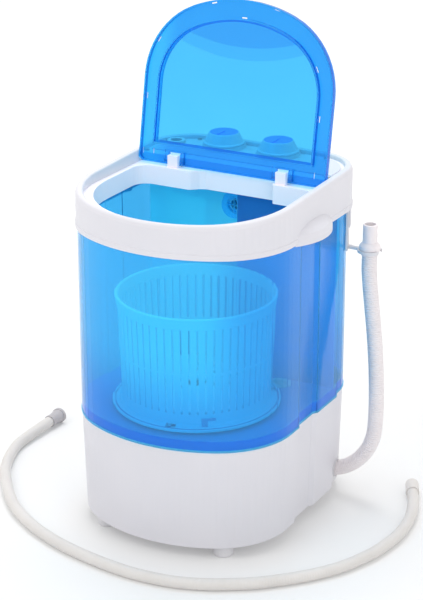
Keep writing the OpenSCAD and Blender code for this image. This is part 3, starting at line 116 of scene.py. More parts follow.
def ribbed_hose(name, route, pitch, crest, root, bore, sides=24, per_rib=5):
    """A closed tube with rounded ribs outside and a smooth bore."""
    ribs = round(route_length(route) / pitch)
    verts, faces, outer, inner = [], [], [], []
    across = None
    for k, (centre, heading) in enumerate(places_along(route, ribs * per_rib)):
        if across is None:
            across = heading.orthogonal()
        across = (across - heading * across.dot(heading)).normalized()
        up = heading.cross(across)
        swell = 0.5 - 0.5 * math.cos(math.tau * k / per_rib)
        rims = [(outer, root + (crest - root) * swell**RIB_FULLNESS)]
        if k % per_rib == 0:
            rims.append((inner, bore))
        for rings, radius in rims:
            rings.append(len(verts))
            for i in range(sides):
                turn = math.tau * i / sides
                verts.append(centre + (across * math.cos(turn) + up * math.sin(turn)) * radius)

    def skin(first, second):
        for i in range(sides):
            j = (i + 1) % sides
            faces.append((first + i, first + j, second + j, second + i))

    for first, second in zip(outer, outer[1:]):
        skin(first, second)
    for first, second in zip(inner, inner[1:]):
        skin(second, first)
    smooth_faces = len(faces)
    skin(inner[0], outer[0])
    skin(outer[-1], inner[-1])
    mesh = bpy.data.meshes.new(name)
    mesh.from_pydata(verts, [], faces)
    mesh.polygons.foreach_set("use_smooth", [f < smooth_faces for f in range(len(faces))])
    return new_piece(name, mesh)


drain_route = smooth_route([
    (99, 120, 34), (111, 120, 34), (123, 120, 34), (146, 120, 37), (169, 120, 46),
    (188, 120, 61), (202, 120, 80), (211, 120, 102), (214, 120, 128), (214, 121, 165),
    (211, 123, 215), (206, 125, 262), (199, 128, 308), (194, 130, 342), (192, 131, 360),
    (192, 131, 372), (192, 131, 384),
])
inlet_route = smooth_route([
    (-353, 100, 12), (-353, 90, 12), (-353, 80, 12), (-355, 48, 10), (-354, 12, 8.5),
    (-347, -14, 8.5), (-337, -40, 8.5), (-325, -64, 8.5), (-310, -88, 8.5),
    (-293, -109, 8.5), (-274, -132, 8.5), (-253, -154, 8.5), (-228, -176, 8.5),
    (-200, -195, 8.5), (-176, -209, 8.5), (-150, -221, 8.5), (-116, -234, 8.5),
    (-80, -244, 8.5), (-45, -251, 8.5), (-10, -256, 8.5), (22, -258, 8.5),
    (53, -256, 8.5), (80, -252, 8.5), (106, -244, 8.5), (130, -234, 8.5),
    (151, -222, 8.5), (180, -203, 8.5), (205, -181, 8.5), (232, -153, 8.5),
    (255, -123, 8.5), (270, -97, 8.5), (281, -70, 8.5), (290, -42, 8.5),
    (295, -13, 8.5), (298, 14, 8.5), (297, 45, 8.5), (291, 83, 8.5), (279, 121, 10),
    (272, 136, 10), (265, 151, 10),
])
drain_tube = ribbed_hose("drain_tube", drain_route, pitch=3.4 * MM, crest=11.5 * MM,
                         root=10.4 * MM, bore=8 * MM)
inlet_tube = ribbed_hose("inlet_tube", inlet_route, pitch=4 * MM, crest=8.5 * MM,
                         root=8.25 * MM, bore=6 * MM, sides=20, per_rib=4)
for hose, stand_in in ((drain_tube, "drain_hose"), (inlet_tube, "inlet_hose")):
    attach(hose, "cabinet")
    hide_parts(stand_in)
route_length(drain_route)
route_length(inlet_route)
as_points(inlet_route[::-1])

# Effects that several finishes share, and the sockets that they are made of
FLOAT, COLOUR, VECTOR = "NodeSocketFloat", "NodeSocketColor", "NodeSocketVector"
MIX_FIRST, MIX_SECOND, MIX_RESULT = 6, 7, 2


def effect(name, inputs, outputs):
    group = bpy.data.node_groups.new(name, "ShaderNodeTree")
    for label, kind, value in inputs:
        group.interface.new_socket(label, in_out="INPUT", socket_type=kind).default_value = value
    for label, kind in outputs:
        group.interface.new_socket(label, in_out="OUTPUT", socket_type=kind)
    return group, group.nodes.new("NodeGroupInput"), group.nodes.new("NodeGroupOutput")


def add(tree, kind, **values):
    """A new node, with each value set on its property or else on its input."""
    node = tree.nodes.new(kind)
    for label, value in values.items():
        if hasattr(node, label):
            setattr(node, label, value)
        else:
            node.inputs[label.replace("_", " ").title()].default_value = value
    return node


def noise(tree, scale, stretch=None, detail=2.0):
    """Noise in the part's own metres, with scale and stretch as sockets."""
    coordinates = add(tree, "ShaderNodeTexCoord").outputs["Object"]
    if stretch is not None:
        mapping = add(tree, "ShaderNodeMapping")
        tree.links.new(stretch, mapping.inputs["Scale"])
        tree.links.new(coordinates, mapping.inputs["Vector"])
        coordinates = mapping.outputs["Vector"]
    texture = add(tree, "ShaderNodeTexNoise", detail=detail)
    tree.links.new(coordinates, texture.inputs["Vector"])
    tree.links.new(scale, texture.inputs["Scale"])
    return texture.outputs["Fac"]


def spread(tree, value, low, high, from_low=0.3, from_high=0.7):
    """The value's middle range spread over low to high, each a socket or a number."""
    node = add(tree, "ShaderNodeMapRange", from_min=from_low, from_max=from_high)
    tree.links.new(value, node.inputs["Value"])
    for label, end in (("To Min", low), ("To Max", high)):
        if isinstance(end, (int, float)):
            node.inputs[label].default_value = end
        else:
            tree.links.new(end, node.inputs[label])
    return node.outputs["Result"]


def alignment(tree, first, second):
    """1 where two directions run along each other, either way, and 0 where they cross."""
    dot = add(tree, "ShaderNodeVectorMath", operation="DOT_PRODUCT")
    tree.links.new(first, dot.inputs[0])
    tree.links.new(second, dot.inputs[1])
    size = add(tree, "ShaderNodeMath", operation="ABSOLUTE")
    tree.links.new(dot.outputs["Value"], size.inputs[0])
    return size.outputs[0]


def colour_drift_effect():
    """Slow change between two tones of a moulding."""
    group, given, out = effect(
        "colour_drift",
        [("Light Tone", COLOUR, (0.8, 0.8, 0.8, 1)), ("Dark Tone", COLOUR, (0.7, 0.7, 0.7, 1)),
         ("Patch Scale", FLOAT, 9.0)],
        [("Colour", COLOUR)],
    )
    mix = add(group, "ShaderNodeMix", data_type="RGBA")
    fade = spread(group, noise(group, given.outputs["Patch Scale"]), 0.0, 1.0)
    group.links.new(fade, mix.inputs["Factor"])
    group.links.new(given.outputs["Light Tone"], mix.inputs[MIX_FIRST])
    group.links.new(given.outputs["Dark Tone"], mix.inputs[MIX_SECOND])
    group.links.new(mix.outputs[MIX_RESULT], out.inputs["Colour"])
    return group


def mould_grain_effect():
    """Fine moulded grain, with gloss that changes a little from place to place."""
    group, given, out = effect(
        "mould_grain",
        [("Grain Scale", FLOAT, 900.0), ("Smooth Roughness", FLOAT, 0.3),
         ("Worn Roughness", FLOAT, 0.45), ("Wear Scale", FLOAT, 14.0)],
        [("Roughness", FLOAT), ("Grain", FLOAT)],
    )
    wear = noise(group, given.outputs["Wear Scale"], detail=6.0)
    group.links.new(
        spread(group, wear, given.outputs["Smooth Roughness"], given.outputs["Worn Roughness"]),
        out.inputs["Roughness"],
    )
    group.links.new(noise(group, given.outputs["Grain Scale"]), out.inputs["Grain"])
    return group


def drawn_lines_effect():
    """Lines drawn out along one direction, as in brushed metal or flowing plastic."""
    group, given, out = effect(
        "drawn_lines",
        [("Line Scale", FLOAT, 60.0), ("Stretch", VECTOR, (1.0, 1.0, 0.05)),
         ("Low", FLOAT, 0.0), ("High", FLOAT, 1.0)],
        [("Lines", FLOAT)],
    )
    lines = noise(group, given.outputs["Line Scale"], given.outputs["Stretch"], detail=3.0)
    group.links.new(
        spread(group, lines, given.outputs["Low"], given.outputs["High"]), out.inputs["Lines"]
    )
    return group


def within_reach_effect():
    """1 near a centre and 0 beyond a radius, with each axis counted by its weight."""
    group, given, out = effect(
        "within_reach",
        [("Centre", VECTOR, (0.0, 0.0, 0.0)), ("Axis Weights", VECTOR, (1.0, 1.0, 1.0)),
         ("Radius", FLOAT, 0.01), ("Softness", FLOAT, 0.001)],
        [("Inside", FLOAT)],
    )
    step = add(group, "ShaderNodeTexCoord").outputs["Object"]
    for operation, label in (("SUBTRACT", "Centre"), ("MULTIPLY", "Axis Weights")):
        node = add(group, "ShaderNodeVectorMath", operation=operation)
        group.links.new(step, node.inputs[0])
        group.links.new(given.outputs[label], node.inputs[1])
        step = node.outputs[0]
    distance = add(group, "ShaderNodeVectorMath", operation="LENGTH")
    group.links.new(step, distance.inputs[0])
    fade = add(group, "ShaderNodeMapRange", interpolation_type="SMOOTHSTEP", to_min=1.0, to_max=0.0)
    group.links.new(distance.outputs["Value"], fade.inputs["Value"])
    for operation, end in (("SUBTRACT", "From Min"), ("ADD", "From Max")):
        edge = add(group, "ShaderNodeMath", operation=operation)
        group.links.new(given.outputs["Radius"], edge.inputs[0])
        group.links.new(given.outputs["Softness"], edge.inputs[1])
        group.links.new(edge.outputs[0], fade.inputs[end])
    group.links.new(fade.outputs["Result"], out.inputs["Inside"])
    return group


def standing_faces_effect():
    """1 on the faces that stand across a flat moulding, 0 on those that lie along it."""
    group, given, out = effect(
        "standing_faces", [("Moulding Normal", VECTOR, (0.0, 0.0, 1.0))], [("Standing", FLOAT)])
    facing = alignment(group, add(group, "ShaderNodeTexCoord").outputs["Normal"],
                       given.outputs["Moulding Normal"])
    group.links.new(spread(group, facing, 1.0, 0.0), out.inputs["Standing"])
    return group


def slot_sides_effect():
    """1 on the faces that run outwards from an upright axis, as the sides of a slot do."""
    group, given, out = effect(
        "slot_sides", [("Axis Point", VECTOR, (0.0, 0.0, 0.0))], [("Slot Side", FLOAT)])
    coordinates = add(group, "ShaderNodeTexCoord")
    offset = add(group, "ShaderNodeVectorMath", operation="SUBTRACT")
    group.links.new(coordinates.outputs["Object"], offset.inputs[0])
    group.links.new(given.outputs["Axis Point"], offset.inputs[1])
    around = add(group, "ShaderNodeVectorMath", operation="CROSS_PRODUCT")
    around.inputs[0].default_value = ALONG_Z
    group.links.new(offset.outputs[0], around.inputs[1])
    heading = add(group, "ShaderNodeVectorMath", operation="NORMALIZE")
    group.links.new(around.outputs[0], heading.inputs[0])
    facing = alignment(group, heading.outputs[0], coordinates.outputs["Normal"])
    side = spread(group, facing, 0.0, 1.0, from_low=0.6, from_high=0.9)
    group.links.new(side, out.inputs["Slot Side"])
    return group


colour_drift = colour_drift_effect()
mould_grain = mould_grain_effect()
drawn_lines = drawn_lines_effect()
within_reach = within_reach_effect()
standing_faces = standing_faces_effect()
slot_sides = slot_sides_effect()
finishes = {}


def place_effect(tree, group, **values):
    node = tree.nodes.new("ShaderNodeGroup")
    node.node_tree = group
    for label, value in values.items():
        node.inputs[label.replace("_", " ").title()].default_value = value
    return node


def rgba(colour):
    return (*colour, 1.0)


def finish_base(name, light, dark, gloss, patches=9.0, grain=900.0, depth=0.00004):
    """A new finish: its tree, its shader and its bump, with the drift and grain that feed them."""
    material = finishes[name] = bpy.data.materials.new(name)
    material.use_nodes = True
    tree = material.node_tree
    shader = tree.nodes["Principled BSDF"]
    drift = place_effect(tree, colour_drift, light_tone=rgba(light), dark_tone=rgba(dark),
                         patch_scale=patches)
    tree.links.new(drift.outputs["Colour"], shader.inputs["Base Color"])
    surface = place_effect(tree, mould_grain, grain_scale=grain, smooth_roughness=gloss[0],
                           worn_roughness=gloss[1])
    tree.links.new(surface.outputs["Roughness"], shader.inputs["Roughness"])
    bump = add(tree, "ShaderNodeBump", distance=depth)
    tree.links.new(surface.outputs["Grain"], bump.inputs["Height"])
    tree.links.new(bump.outputs["Normal"], shader.inputs["Normal"])
    return tree, shader, bump


def moulded_plastic(name, light, dark, gloss, glow_through=0.0, **grain):
    """Opaque or faintly translucent moulded plastic or rubber."""
    _, shader, _ = finish_base(name, light, dark, gloss, **grain)
    shader.inputs["IOR"].default_value = 1.49
    if glow_through:
        shader.inputs["Subsurface Weight"].default_value = glow_through
        shader.inputs["Subsurface Radius"].default_value = (0.01, 0.01, 0.01)
        shader.inputs["Subsurface Scale"].default_value = 0.5


def clear_plastic(name, light, dark, shadow_tint, gloss=(0.05, 0.09), ripple=0.0004, clarity=0.8):
    """Clear tinted plastic, with faint upright flow lines, that lets soft light through."""
    tree, shader, bump = finish_base(name, light, dark, gloss, depth=ripple)
    shader.inputs["Transmission Weight"].default_value = clarity
    shader.inputs["IOR"].default_value = 1.2
    shader.inputs["Coat Weight"].default_value = 0.3
    lines = place_effect(tree, drawn_lines, line_scale=26.0, stretch=(1.0, 1.0, 0.03))
    tree.links.new(lines.outputs["Lines"], bump.inputs["Height"])
    open_air = tree.nodes.new("ShaderNodeBsdfTransparent")
    open_air.inputs["Color"].default_value = rgba(shadow_tint)
    path = tree.nodes.new("ShaderNodeLightPath")
    either = add(tree, "ShaderNodeMath", operation="MAXIMUM")
    tree.links.new(path.outputs["Is Shadow Ray"], either.inputs[0])
    tree.links.new(path.outputs["Is Diffuse Ray"], either.inputs[1])
    mix = tree.nodes.new("ShaderNodeMixShader")
    tree.links.new(either.outputs[0], mix.inputs["Fac"])
    tree.links.new(shader.outputs["BSDF"], mix.inputs[1])
    tree.links.new(open_air.outputs["BSDF"], mix.inputs[2])
    tree.links.new(mix.outputs["Shader"], tree.nodes["Material Output"].inputs["Surface"])


def bare_metal(name, light, dark, gloss, stretch=(1.0, 1.0, 0.04), **grain):
    """Metal with the lines of turning, drawing or brushing in its gloss."""
    tree, shader, bump = finish_base(name, light, dark, gloss, **grain)
    shader.inputs["Metallic"].default_value = 1.0
    drawn = place_effect(tree, drawn_lines, line_scale=420.0, stretch=stretch,
                         low=gloss[0], high=gloss[1])
    tree.links.new(drawn.outputs["Lines"], shader.inputs["Roughness"])
    tree.links.new(drawn.outputs["Lines"], bump.inputs["Height"])


# Finishes: the two tones that each drifts between, then its gloss as low and high roughness
moulded_plastic("white_shell", (0.71, 0.70, 0.745), (0.68, 0.675, 0.72), (0.34, 0.44),
                glow_through=0.06)
# The lid seat and rear deck wear a lighter copy of the shell's white: painted light that makes up
# for the shade in the recess under the lid
moulded_plastic("ledge_white_painted_light", (0.93, 0.88, 0.95), (0.90, 0.85, 0.925), (0.34, 0.46),
                glow_through=0.1)
moulded_plastic("white_fittings", (0.71, 0.70, 0.73), (0.67, 0.665, 0.69), (0.38, 0.5))
moulded_plastic("basket_blue", (0.46, 0.89, 1.0), (0.43, 0.865, 0.99), (0.3, 0.42),
                glow_through=0.06)
moulded_plastic("latch_blue", (0.18, 0.40, 0.68), (0.17, 0.38, 0.66), (0.3, 0.42))
moulded_plastic("knob_white", (0.66, 0.74, 0.8), (0.62, 0.7, 0.77), (0.28, 0.4),
                glow_through=0.1)
moulded_plastic("dial_print", (0.05, 0.12, 0.3), (0.04, 0.1, 0.26), (0.4, 0.5))
moulded_plastic("pipe_blue", (0.10, 0.52, 0.80), (0.09, 0.49, 0.77), (0.38, 0.5))
moulded_plastic("grey_fittings", (0.42, 0.43, 0.45), (0.36, 0.37, 0.39), (0.4, 0.55))
moulded_plastic("dark_fittings", (0.03, 0.03, 0.034), (0.02, 0.02, 0.023), (0.42, 0.58))
moulded_plastic("black_rubber", (0.022, 0.022, 0.022), (0.014, 0.014, 0.014), (0.6, 0.8),
                grain=500.0)
moulded_plastic("drain_hose_white", (0.86, 0.805, 0.82), (0.81, 0.76, 0.775), (0.36, 0.5),
                glow_through=0.3, patches=22.0)
moulded_plastic("inlet_hose_white", (0.72, 0.69, 0.665), (0.67, 0.64, 0.615), (0.36, 0.5),
                glow_through=0.2, patches=18.0)
moulded_plastic("adapter_grey", (0.50, 0.48, 0.50), (0.44, 0.42, 0.44), (0.4, 0.55))
moulded_plastic("painted_iron", (0.16, 0.17, 0.19), (0.12, 0.13, 0.145), (0.3, 0.5),
                grain=600.0, depth=0.0001)
bare_metal("bright_steel", (0.62, 0.63, 0.65), (0.54, 0.55, 0.57), (0.16, 0.32))
bare_metal("cast_aluminium", (0.66, 0.67, 0.69), (0.56, 0.57, 0.59), (0.35, 0.6),
           grain=700.0, stretch=(1.0, 1.0, 1.0))
bare_metal("sintered_bronze", (0.58, 0.4, 0.18), (0.48, 0.32, 0.14), (0.3, 0.5),
           grain=1200.0, stretch=(1.0, 1.0, 1.0))
# The clear ones: their two tones, then the tint of the light that falls through them
clear_plastic("tub_blue", (0.075, 0.50, 0.89), (0.068, 0.48, 0.87), (0.55, 0.87, 1.0))
clear_plastic("tub_wall_blue", (0.13, 0.75, 0.98), (0.12, 0.73, 0.97), (0.6, 0.93, 1.0),
              clarity=0.4)
clear_plastic("tub_floor_blue", (0.09, 0.43, 0.88), (0.07, 0.40, 0.86), (0.5, 0.85, 1.0),
              clarity=0.4)
clear_plastic("lid_border_blue", (0.034, 0.39, 0.91), (0.03, 0.37, 0.89), (0.5, 0.85, 1.0))
clear_plastic("lid_panel_blue", (0.066, 0.53, 0.93), (0.062, 0.515, 0.92), (0.55, 0.9, 1.0),
              ripple=0.0001, clarity=0.95)


def mask(finish, group, **values):
    """The only output of an effect that is placed in a finish."""
    return place_effect(finishes[finish].node_tree, group, **values).outputs[0]


def joined(finish, operation, first, second):
    """One mask made of two: MULTIPLY keeps their overlap, SUBTRACT the first outside the second."""
    tree = finishes[finish].node_tree
    join = add(tree, "ShaderNodeMath", operation=operation)
    tree.links.new(first, join.inputs[0])
    tree.links.new(second, join.inputs[1])
    return join.outputs[0]


def tone_where(finish, colour, where):
    """Another base colour where a mask of the finish is 1."""
    tree = finishes[finish].node_tree
    base_colour = tree.nodes["Principled BSDF"].inputs["Base Color"]
    mix = add(tree, "ShaderNodeMix", data_type="RGBA")
    tree.links.new(where, mix.inputs["Factor"])
    tree.links.new(base_colour.links[0].from_socket, mix.inputs[MIX_FIRST])
    mix.inputs[MIX_SECOND].default_value = rgba(colour)
    tree.links.new(mix.outputs[MIX_RESULT], base_colour)


def zone(finish, centre, axis_weights, radius, softness):
    """A mask of a finish that is 1 within reach of a centre, in metres."""
    return mask(finish, within_reach, centre=centre, axis_weights=axis_weights, radius=radius,
                softness=softness)


def zone_tone(finish, colour, *reach):
    """Another base colour in a zone of the finish."""
    tone_where(finish, colour, zone(finish, *reach))


# The lid leans back by its opening angle: its border is lighter on the left and has painted
# shade on the walls that stand across the sheet, and its sheet has painted shade for a finger
# scoop with a crease below it
LID_NORMAL = (0.0, 0.985, -0.174)
LID_LEAN = (1.0, 0.0, 1.0154)
zone_tone("lid_border_blue", (0.048, 0.51, 0.95), (-0.15, 0, 0), ALONG_X, 0.032, 0.018)
# Painted shade: the border's standing walls darker, for the dark outlines of clear walls seen
# edge-on
tone_where("lid_border_blue", (0.012, 0.20, 0.72),
           mask("lid_border_blue", standing_faces, moulding_normal=LID_NORMAL))
# Painted shade of the finger scoop and of the crease below it, as two darker arcs on the sheet
zone_tone("lid_panel_blue", (0.05, 0.45, 0.93), (0, 0, 0.9294), LID_LEAN, 0.278, 0.0006)
zone_tone("lid_panel_blue", (0.035, 0.36, 0.90), (0, 0, 0.950), LID_LEAN, 0.281, 0.0008)

# The wash space's rear wall has painted shade right of its step, deepest near the top
WALL_RIGHT_SHADE = ((0.0925, 0, 0), ALONG_X, 0.09, 0.001)
WALL_TOP_SHADE = ((0, 0, 0.50), ALONG_Z, 0.095, 0.01)
# Painted shade: the wall darker right of its step, and darkest where that meets the top
zone_tone("tub_wall_blue", (0.085, 0.46, 0.98), *WALL_RIGHT_SHADE)
tone_where("tub_wall_blue", (0.028, 0.20, 0.55), joined(
    "tub_wall_blue", "MULTIPLY", zone("tub_wall_blue", *WALL_RIGHT_SHADE),
    zone("tub_wall_blue", *WALL_TOP_SHADE)))

# The basket has a ring of painted groove shade round its foot and painted shade on its slots' sides
BASKET_CENTRE = (0.008, -0.052, 0.0)
GROOVE_SHADE_INNER, GROOVE_SHADE_OUTER, GROOVE_SHADE_EDGE = 0.1157, 0.1178, 0.0001
# Painted shade: a dark ring on the foot's flange where a groove's shade would lie
tone_where("basket_blue", (0.08, 0.28, 0.54), joined(
    "basket_blue", "SUBTRACT",
    zone("basket_blue", BASKET_CENTRE, ROUND_Z, GROOVE_SHADE_OUTER, GROOVE_SHADE_EDGE),
    zone("basket_blue", BASKET_CENTRE, ROUND_Z, GROOVE_SHADE_INNER, GROOVE_SHADE_EDGE)))
# Painted shade: the sides of the slots, and any face that runs outwards from the basket's axis, a
# little darker
tone_where("basket_blue", (0.40, 0.80, 0.965),
           mask("basket_blue", slot_sides, axis_point=BASKET_CENTRE))

# The knobs have blue tops
zone_tone("knob_white", (0.06, 0.33, 0.85), (0, 0, 0.5310), ALONG_Z, 0.0021, 0.0001)

# The tub's body is lighter in the middle of its front and at its rear, deeper towards its lower
# edge, and has a band of painted shade there with a painted bright line of light below it
zone_tone("tub_blue", (0.115, 0.70, 1.0), (-0.01, 0, 0), ALONG_X, 0.120, 0.035)
zone_tone("tub_blue", (0.15, 0.80, 1.0), (0, 0.30, 0), ALONG_Y, 0.16, 0.01)
zone_tone("tub_blue", (0.075, 0.48, 0.88), (0, 0, 0.17), ALONG_Z, 0.09, 0.06)
# Painted shade: a dark band for the dark hollow seen through the tub near its lower edge
zone_tone("tub_blue", (0.035, 0.28, 0.88), (0, 0, 0.170), ALONG_Z, 0.0155, 0.001)
# Painted light: a bright line along the lower edge, as light carried through the clear plastic
zone_tone("tub_blue", (0.2, 0.72, 1.0), (0, 0, 0.169), ALONG_Z, 0.003, 0.0005)

worn_by = {
    "white_shell": ["base_shell", "top_frame", "control_panel"],
    "ledge_white_painted_light": ["lid_seat", "rear_deck"],
    "white_fittings": ["base_plate", "feet", "inlet_port", "drain_screen", "rear_cover",
                       "hose_clip"],
    "tub_blue": ["wash_tub", "overflow_ring"],
    "tub_wall_blue": ["tub_wall"],
    "tub_floor_blue": ["tub_floor"],
    "lid_border_blue": ["lid_rim"],
    "lid_panel_blue": ["lid_panel"],
    "basket_blue": ["spin_basket", "basket_floor", "pulsator"],
    "knob_white": ["wash_knob", "spin_knob"],
    "pipe_blue": ["inlet_pipe"],
    "grey_fittings": ["start_capacitor", "drain_sump", "drain_pipe"],
    "dark_fittings": ["wash_timer", "spin_timer", "cord_gland"],
    "black_rubber": ["shaft_seal", "drive_belt"],
    "drain_hose_white": ["drain_hose_nozzle", "drain_hose"],
    "inlet_hose_white": ["inlet_cuff", "inlet_hose"],
    "adapter_grey": ["inlet_adapter"],
    "bright_steel": ["panel_screws", "wash_spindle", "spin_spindle", "hinge_pins",
                     "pulsator_screw", "drive_shaft", "pulley_nut", "motor_shaft",
                     "motor_screws", "capacitor_strap", "rear_cover_screws", "base_screws"],
    "cast_aluminium": ["large_pulley"],
    "sintered_bronze": ["upper_bush", "lower_bush"],
    "painted_iron": ["bearing_housing", "motor", "motor_pulley", "motor_bracket"],
}


def dress(piece, finish):
    if not piece.material_slots:
        piece.data.materials.append(finishes[finish])
    for place in piece.material_slots:
        place.material = finishes[finish]


for finish, names in worn_by.items():
    for name in names:
        dress(parts[name], finish)
dress(drain_tube, "drain_hose_white")
dress(inlet_tube, "inlet_hose_white")


def fit(piece, finish, body):
    """Dress a piece of the scene's own and let it ride a body."""
    dress(piece, finish)
    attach(piece, body)


def even_normals(mesh):
    """Every face turned outwards, and no point left without a face."""
    shape = bmesh.new()
    shape.from_mesh(mesh)
    bmesh.ops.delete(shape, geom=[v for v in shape.verts if not v.link_faces], context="VERTS")
    bmesh.ops.recalc_face_normals(shape, faces=shape.faces)
    shape.to_mesh(mesh)
    shape.free()


def skinned(name, rings, finish):
    """A closed white skin over rings of points, the last ring joined to the first."""
    count = len(rings[0])
    faces = []
    for a, b in zip(range(len(rings)), [*range(1, len(rings)), 0]):
        for i in range(count):
            j = (i + 1) % count
            faces.append((a * count + i, a * count + j, b * count + j, b * count + i))
    mesh = bpy.data.meshes.new(name)
    mesh.from_pydata([point for ring in rings for point in ring], [], faces)
    even_normals(mesh)
    fit(new_piece(name, mesh), finish, "cabinet")


# Upright lip of the base inside the tub's lower edge, and the collar of the drain hose
WELD_DECIMALS = 6
COLLAR_POINTS = 64


def outlines_at(part, height):
    """A part's closed outlines at a height, the longest first, as flat points."""
    shape = bmesh.new()
    shape.from_mesh(part.data)
    bmesh.ops.remove_doubles(shape, verts=shape.verts, dist=10**-WELD_DECIMALS)
    cut = bmesh.ops.bisect_plane(
        shape, geom=shape.verts[:] + shape.edges[:] + shape.faces[:],
        plane_co=(0, 0, height), plane_no=(0, 0, 1), clear_inner=True, clear_outer=True)
    beside = {}
    for edge in (e for e in cut["geom_cut"] if isinstance(e, bmesh.types.BMEdge)):
        a, b = (vert.co.to_2d().to_tuple(WELD_DECIMALS) for vert in edge.verts)
        beside.setdefault(a, []).append(b)
        beside.setdefault(b, []).append(a)
    shape.free()
    loops = []
    while beside:
        loop = [min(beside)]
        while True:
            onward = [p for p in beside.pop(loop[-1], []) if p in beside]
            if not onward:
                break
            loop.append(min(onward) if len(loop) == 1 else onward[0])
        loops.append([Vector(p) for p in loop])
    return sorted(loops, key=lambda loop: -sum((a - b).length for a, b in zip(loop, loop[1:])))


def set_in(loop, depth):
    """The outline moved inwards by a depth."""
    turning = sum(a.cross(b) for a, b in zip(loop, loop[1:] + loop[:1]))
    moved = []
    for before, here, after in zip(loop[-1:] + loop[:-1], loop, loop[1:] + loop[:1]):
        along = (after - before).normalized()
        inwards = Vector((-along.y, along.x)) * (1 if turning > 0 else -1)
        moved.append(here + inwards * depth)
    return moved


def spigot(name, outline, low, high, gap, thickness, rounding=0.6 * MM):
    """Upright lip that follows an outline from inside, with a gap and rounded upper edges."""
    def ring(depth, height):
        return [(p.x, p.y, height) for p in set_in(outline, depth)]

    skinned(name, [
        ring(gap + thickness, low), ring(gap, low), ring(gap, high - rounding),
        ring(gap + rounding, high), ring(gap + thickness - rounding, high),
        ring(gap + thickness, high - rounding)], "white_shell")


def hose_collar(name, hose_y, hole_z, hole_w, hole_h, notch_hw, notch_low, notch_round_z):
    """Plate that closes the notch in the base's side round the drain hose."""
    shell = parts["base_shell"].data
    tree = BVHTree.FromPolygons([v.co for v in shell.vertices],
                                [f.vertices for f in shell.polygons])
    outside_x, low_level, high_level = 0.3, 0.060, 0.120

    def wall_x(y, z):
        """The wall's straight slope between two levels, carried on to any height."""
        low, high = (tree.ray_cast(Vector((outside_x, y, level)), Vector((-1, 0, 0)))[0].x
                     for level in (low_level, high_level))
        return low + (high - low) * (z - low_level) / (high_level - low_level)

    corner = math.atan2(notch_low - hole_z, notch_hw)
    turns = sorted([math.tau * i / COLLAR_POINTS for i in range(COLLAR_POINTS)]
                   + [corner % math.tau, math.pi - corner])
    rise = notch_round_z - hole_z

    def ring(reach_at, proud):
        points = []
        for turn in turns:
            along, up = reach_at(math.cos(turn), math.sin(turn))
            y, z = hose_y + along, hole_z + up
            points.append((wall_x(y, z) + proud, y, z))
        return points

    def hole(grow):
        return lambda c, s: (c * (hole_w + grow), s * (hole_h + grow))

    def notch(c, s):
        reach = notch_hw / max(abs(c), 1e-9)
        if s > 0 and reach * s > rise:
            reach = rise * s + math.sqrt(notch_hw**2 - (rise * c) ** 2)
        elif s < 0:
            reach = min(reach, (hole_z - notch_low) / -s)
        return c * reach, s * reach

    back, face = -2.5, -0.6
    bead = [(1.7, face), (1.4, 1.0), (0.9, 1.4), (0.3, 1.2), (0.0, 0.7), (0.0, back)]
    skinned(name, [ring(notch, back * MM), ring(notch, face * MM)]
            + [ring(hole(grow * MM), proud * MM) for grow, proud in bead], "white_fittings")


TUB_EDGE_Z, INNER_OUTLINE = 0.176, 1
spigot("base_spigot", outlines_at(parts["wash_tub"], TUB_EDGE_Z)[INNER_OUTLINE],
       low=0.162, high=0.183, gap=0.0014, thickness=0.0014)
hose_collar("drain_collar", hose_y=0.120, hole_z=0.0392, hole_w=0.0119, hole_h=0.0128,
            notch_hw=0.0147, notch_low=0.0190, notch_round_z=0.042)

# Latch on the basket's foot
FOOT_R, FLARE_TOP, FLARE_SLOPE = 0.107, 0.008, 4 / 3
foot_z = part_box("spin_basket")[0][2]


def twist_latch(name, turns, rises, cells, sunk, proud):
    """Stepped lug on the foot of the basket's wall, by the cells that it fills."""
    verts, faces = [], []
    for lift in (-sunk, proud):
        for rise in rises:
            reach = FOOT_R + max(0.0, FLARE_TOP - rise) * FLARE_SLOPE + lift
            for turn in map(math.radians, turns):
                verts.append((BASKET_CENTRE[0] + reach * math.cos(turn),
                              BASKET_CENTRE[1] + reach * math.sin(turn), foot_z + rise))
    across, layer = len(turns), len(turns) * len(rises)
    for i, k in cells:
        first = k * across + i
        near = [first, first + 1, first + across + 1, first + across]
        faces += [tuple(layer + v for v in near), tuple(reversed(near))]
        for side, beside in enumerate(((i, k - 1), (i + 1, k), (i, k + 1), (i - 1, k))):
            if beside not in cells:
                a, b = near[side], near[(side + 1) % 4]
                faces.append((a, b, layer + b, layer + a))
    mesh = bpy.data.meshes.new(name)
    mesh.from_pydata(verts, [], faces)
    even_normals(mesh)
    lug = new_piece(name, mesh)
    edges = lug.modifiers.new("soft_edges", "BEVEL")
    edges.width, edges.segments = 0.0005, 2
    fit(lug, "latch_blue", "basket")


twist_latch("twist_latch", turns=(-57.3, -54.9, -52.6, -49.6, -46.6),
            rises=(0.0052, 0.0082, 0.0120, 0.0165),
            cells=[(0, 0), (1, 0), (0, 1), (1, 1), (0, 2), (1, 2), (2, 2), (3, 2)],
            sunk=0.0006, proud=0.0014)

# Dial marks on the panel: a tick for each step of the timer and plain numbers
KNOB_Y, PANEL_TOP, PANEL_BACK = 0.150, 0.5066, 0.1715
TICK_START, SHORT_TICK, LONG_TICK, TICK_LIFT = 0.0352, (0.0368, 0.0002), (0.0378, 0.0003), 0.00015
NUMBER_REACH, NUMBER_SIZE, NUMBER_DEPTH, NUMBER_MARGIN = 0.0412, 0.0052, 0.0001, 0.002


def dial_number(name, text, spot):
    number = bpy.data.curves.new(name, "FONT")
    number.body = text
    number.size = NUMBER_SIZE
    number.extrude = NUMBER_DEPTH
    number.align_x = number.align_y = "CENTER"
    piece = new_piece(name, number)
    piece.location = spot
    fit(piece, "dial_print", "cabinet")


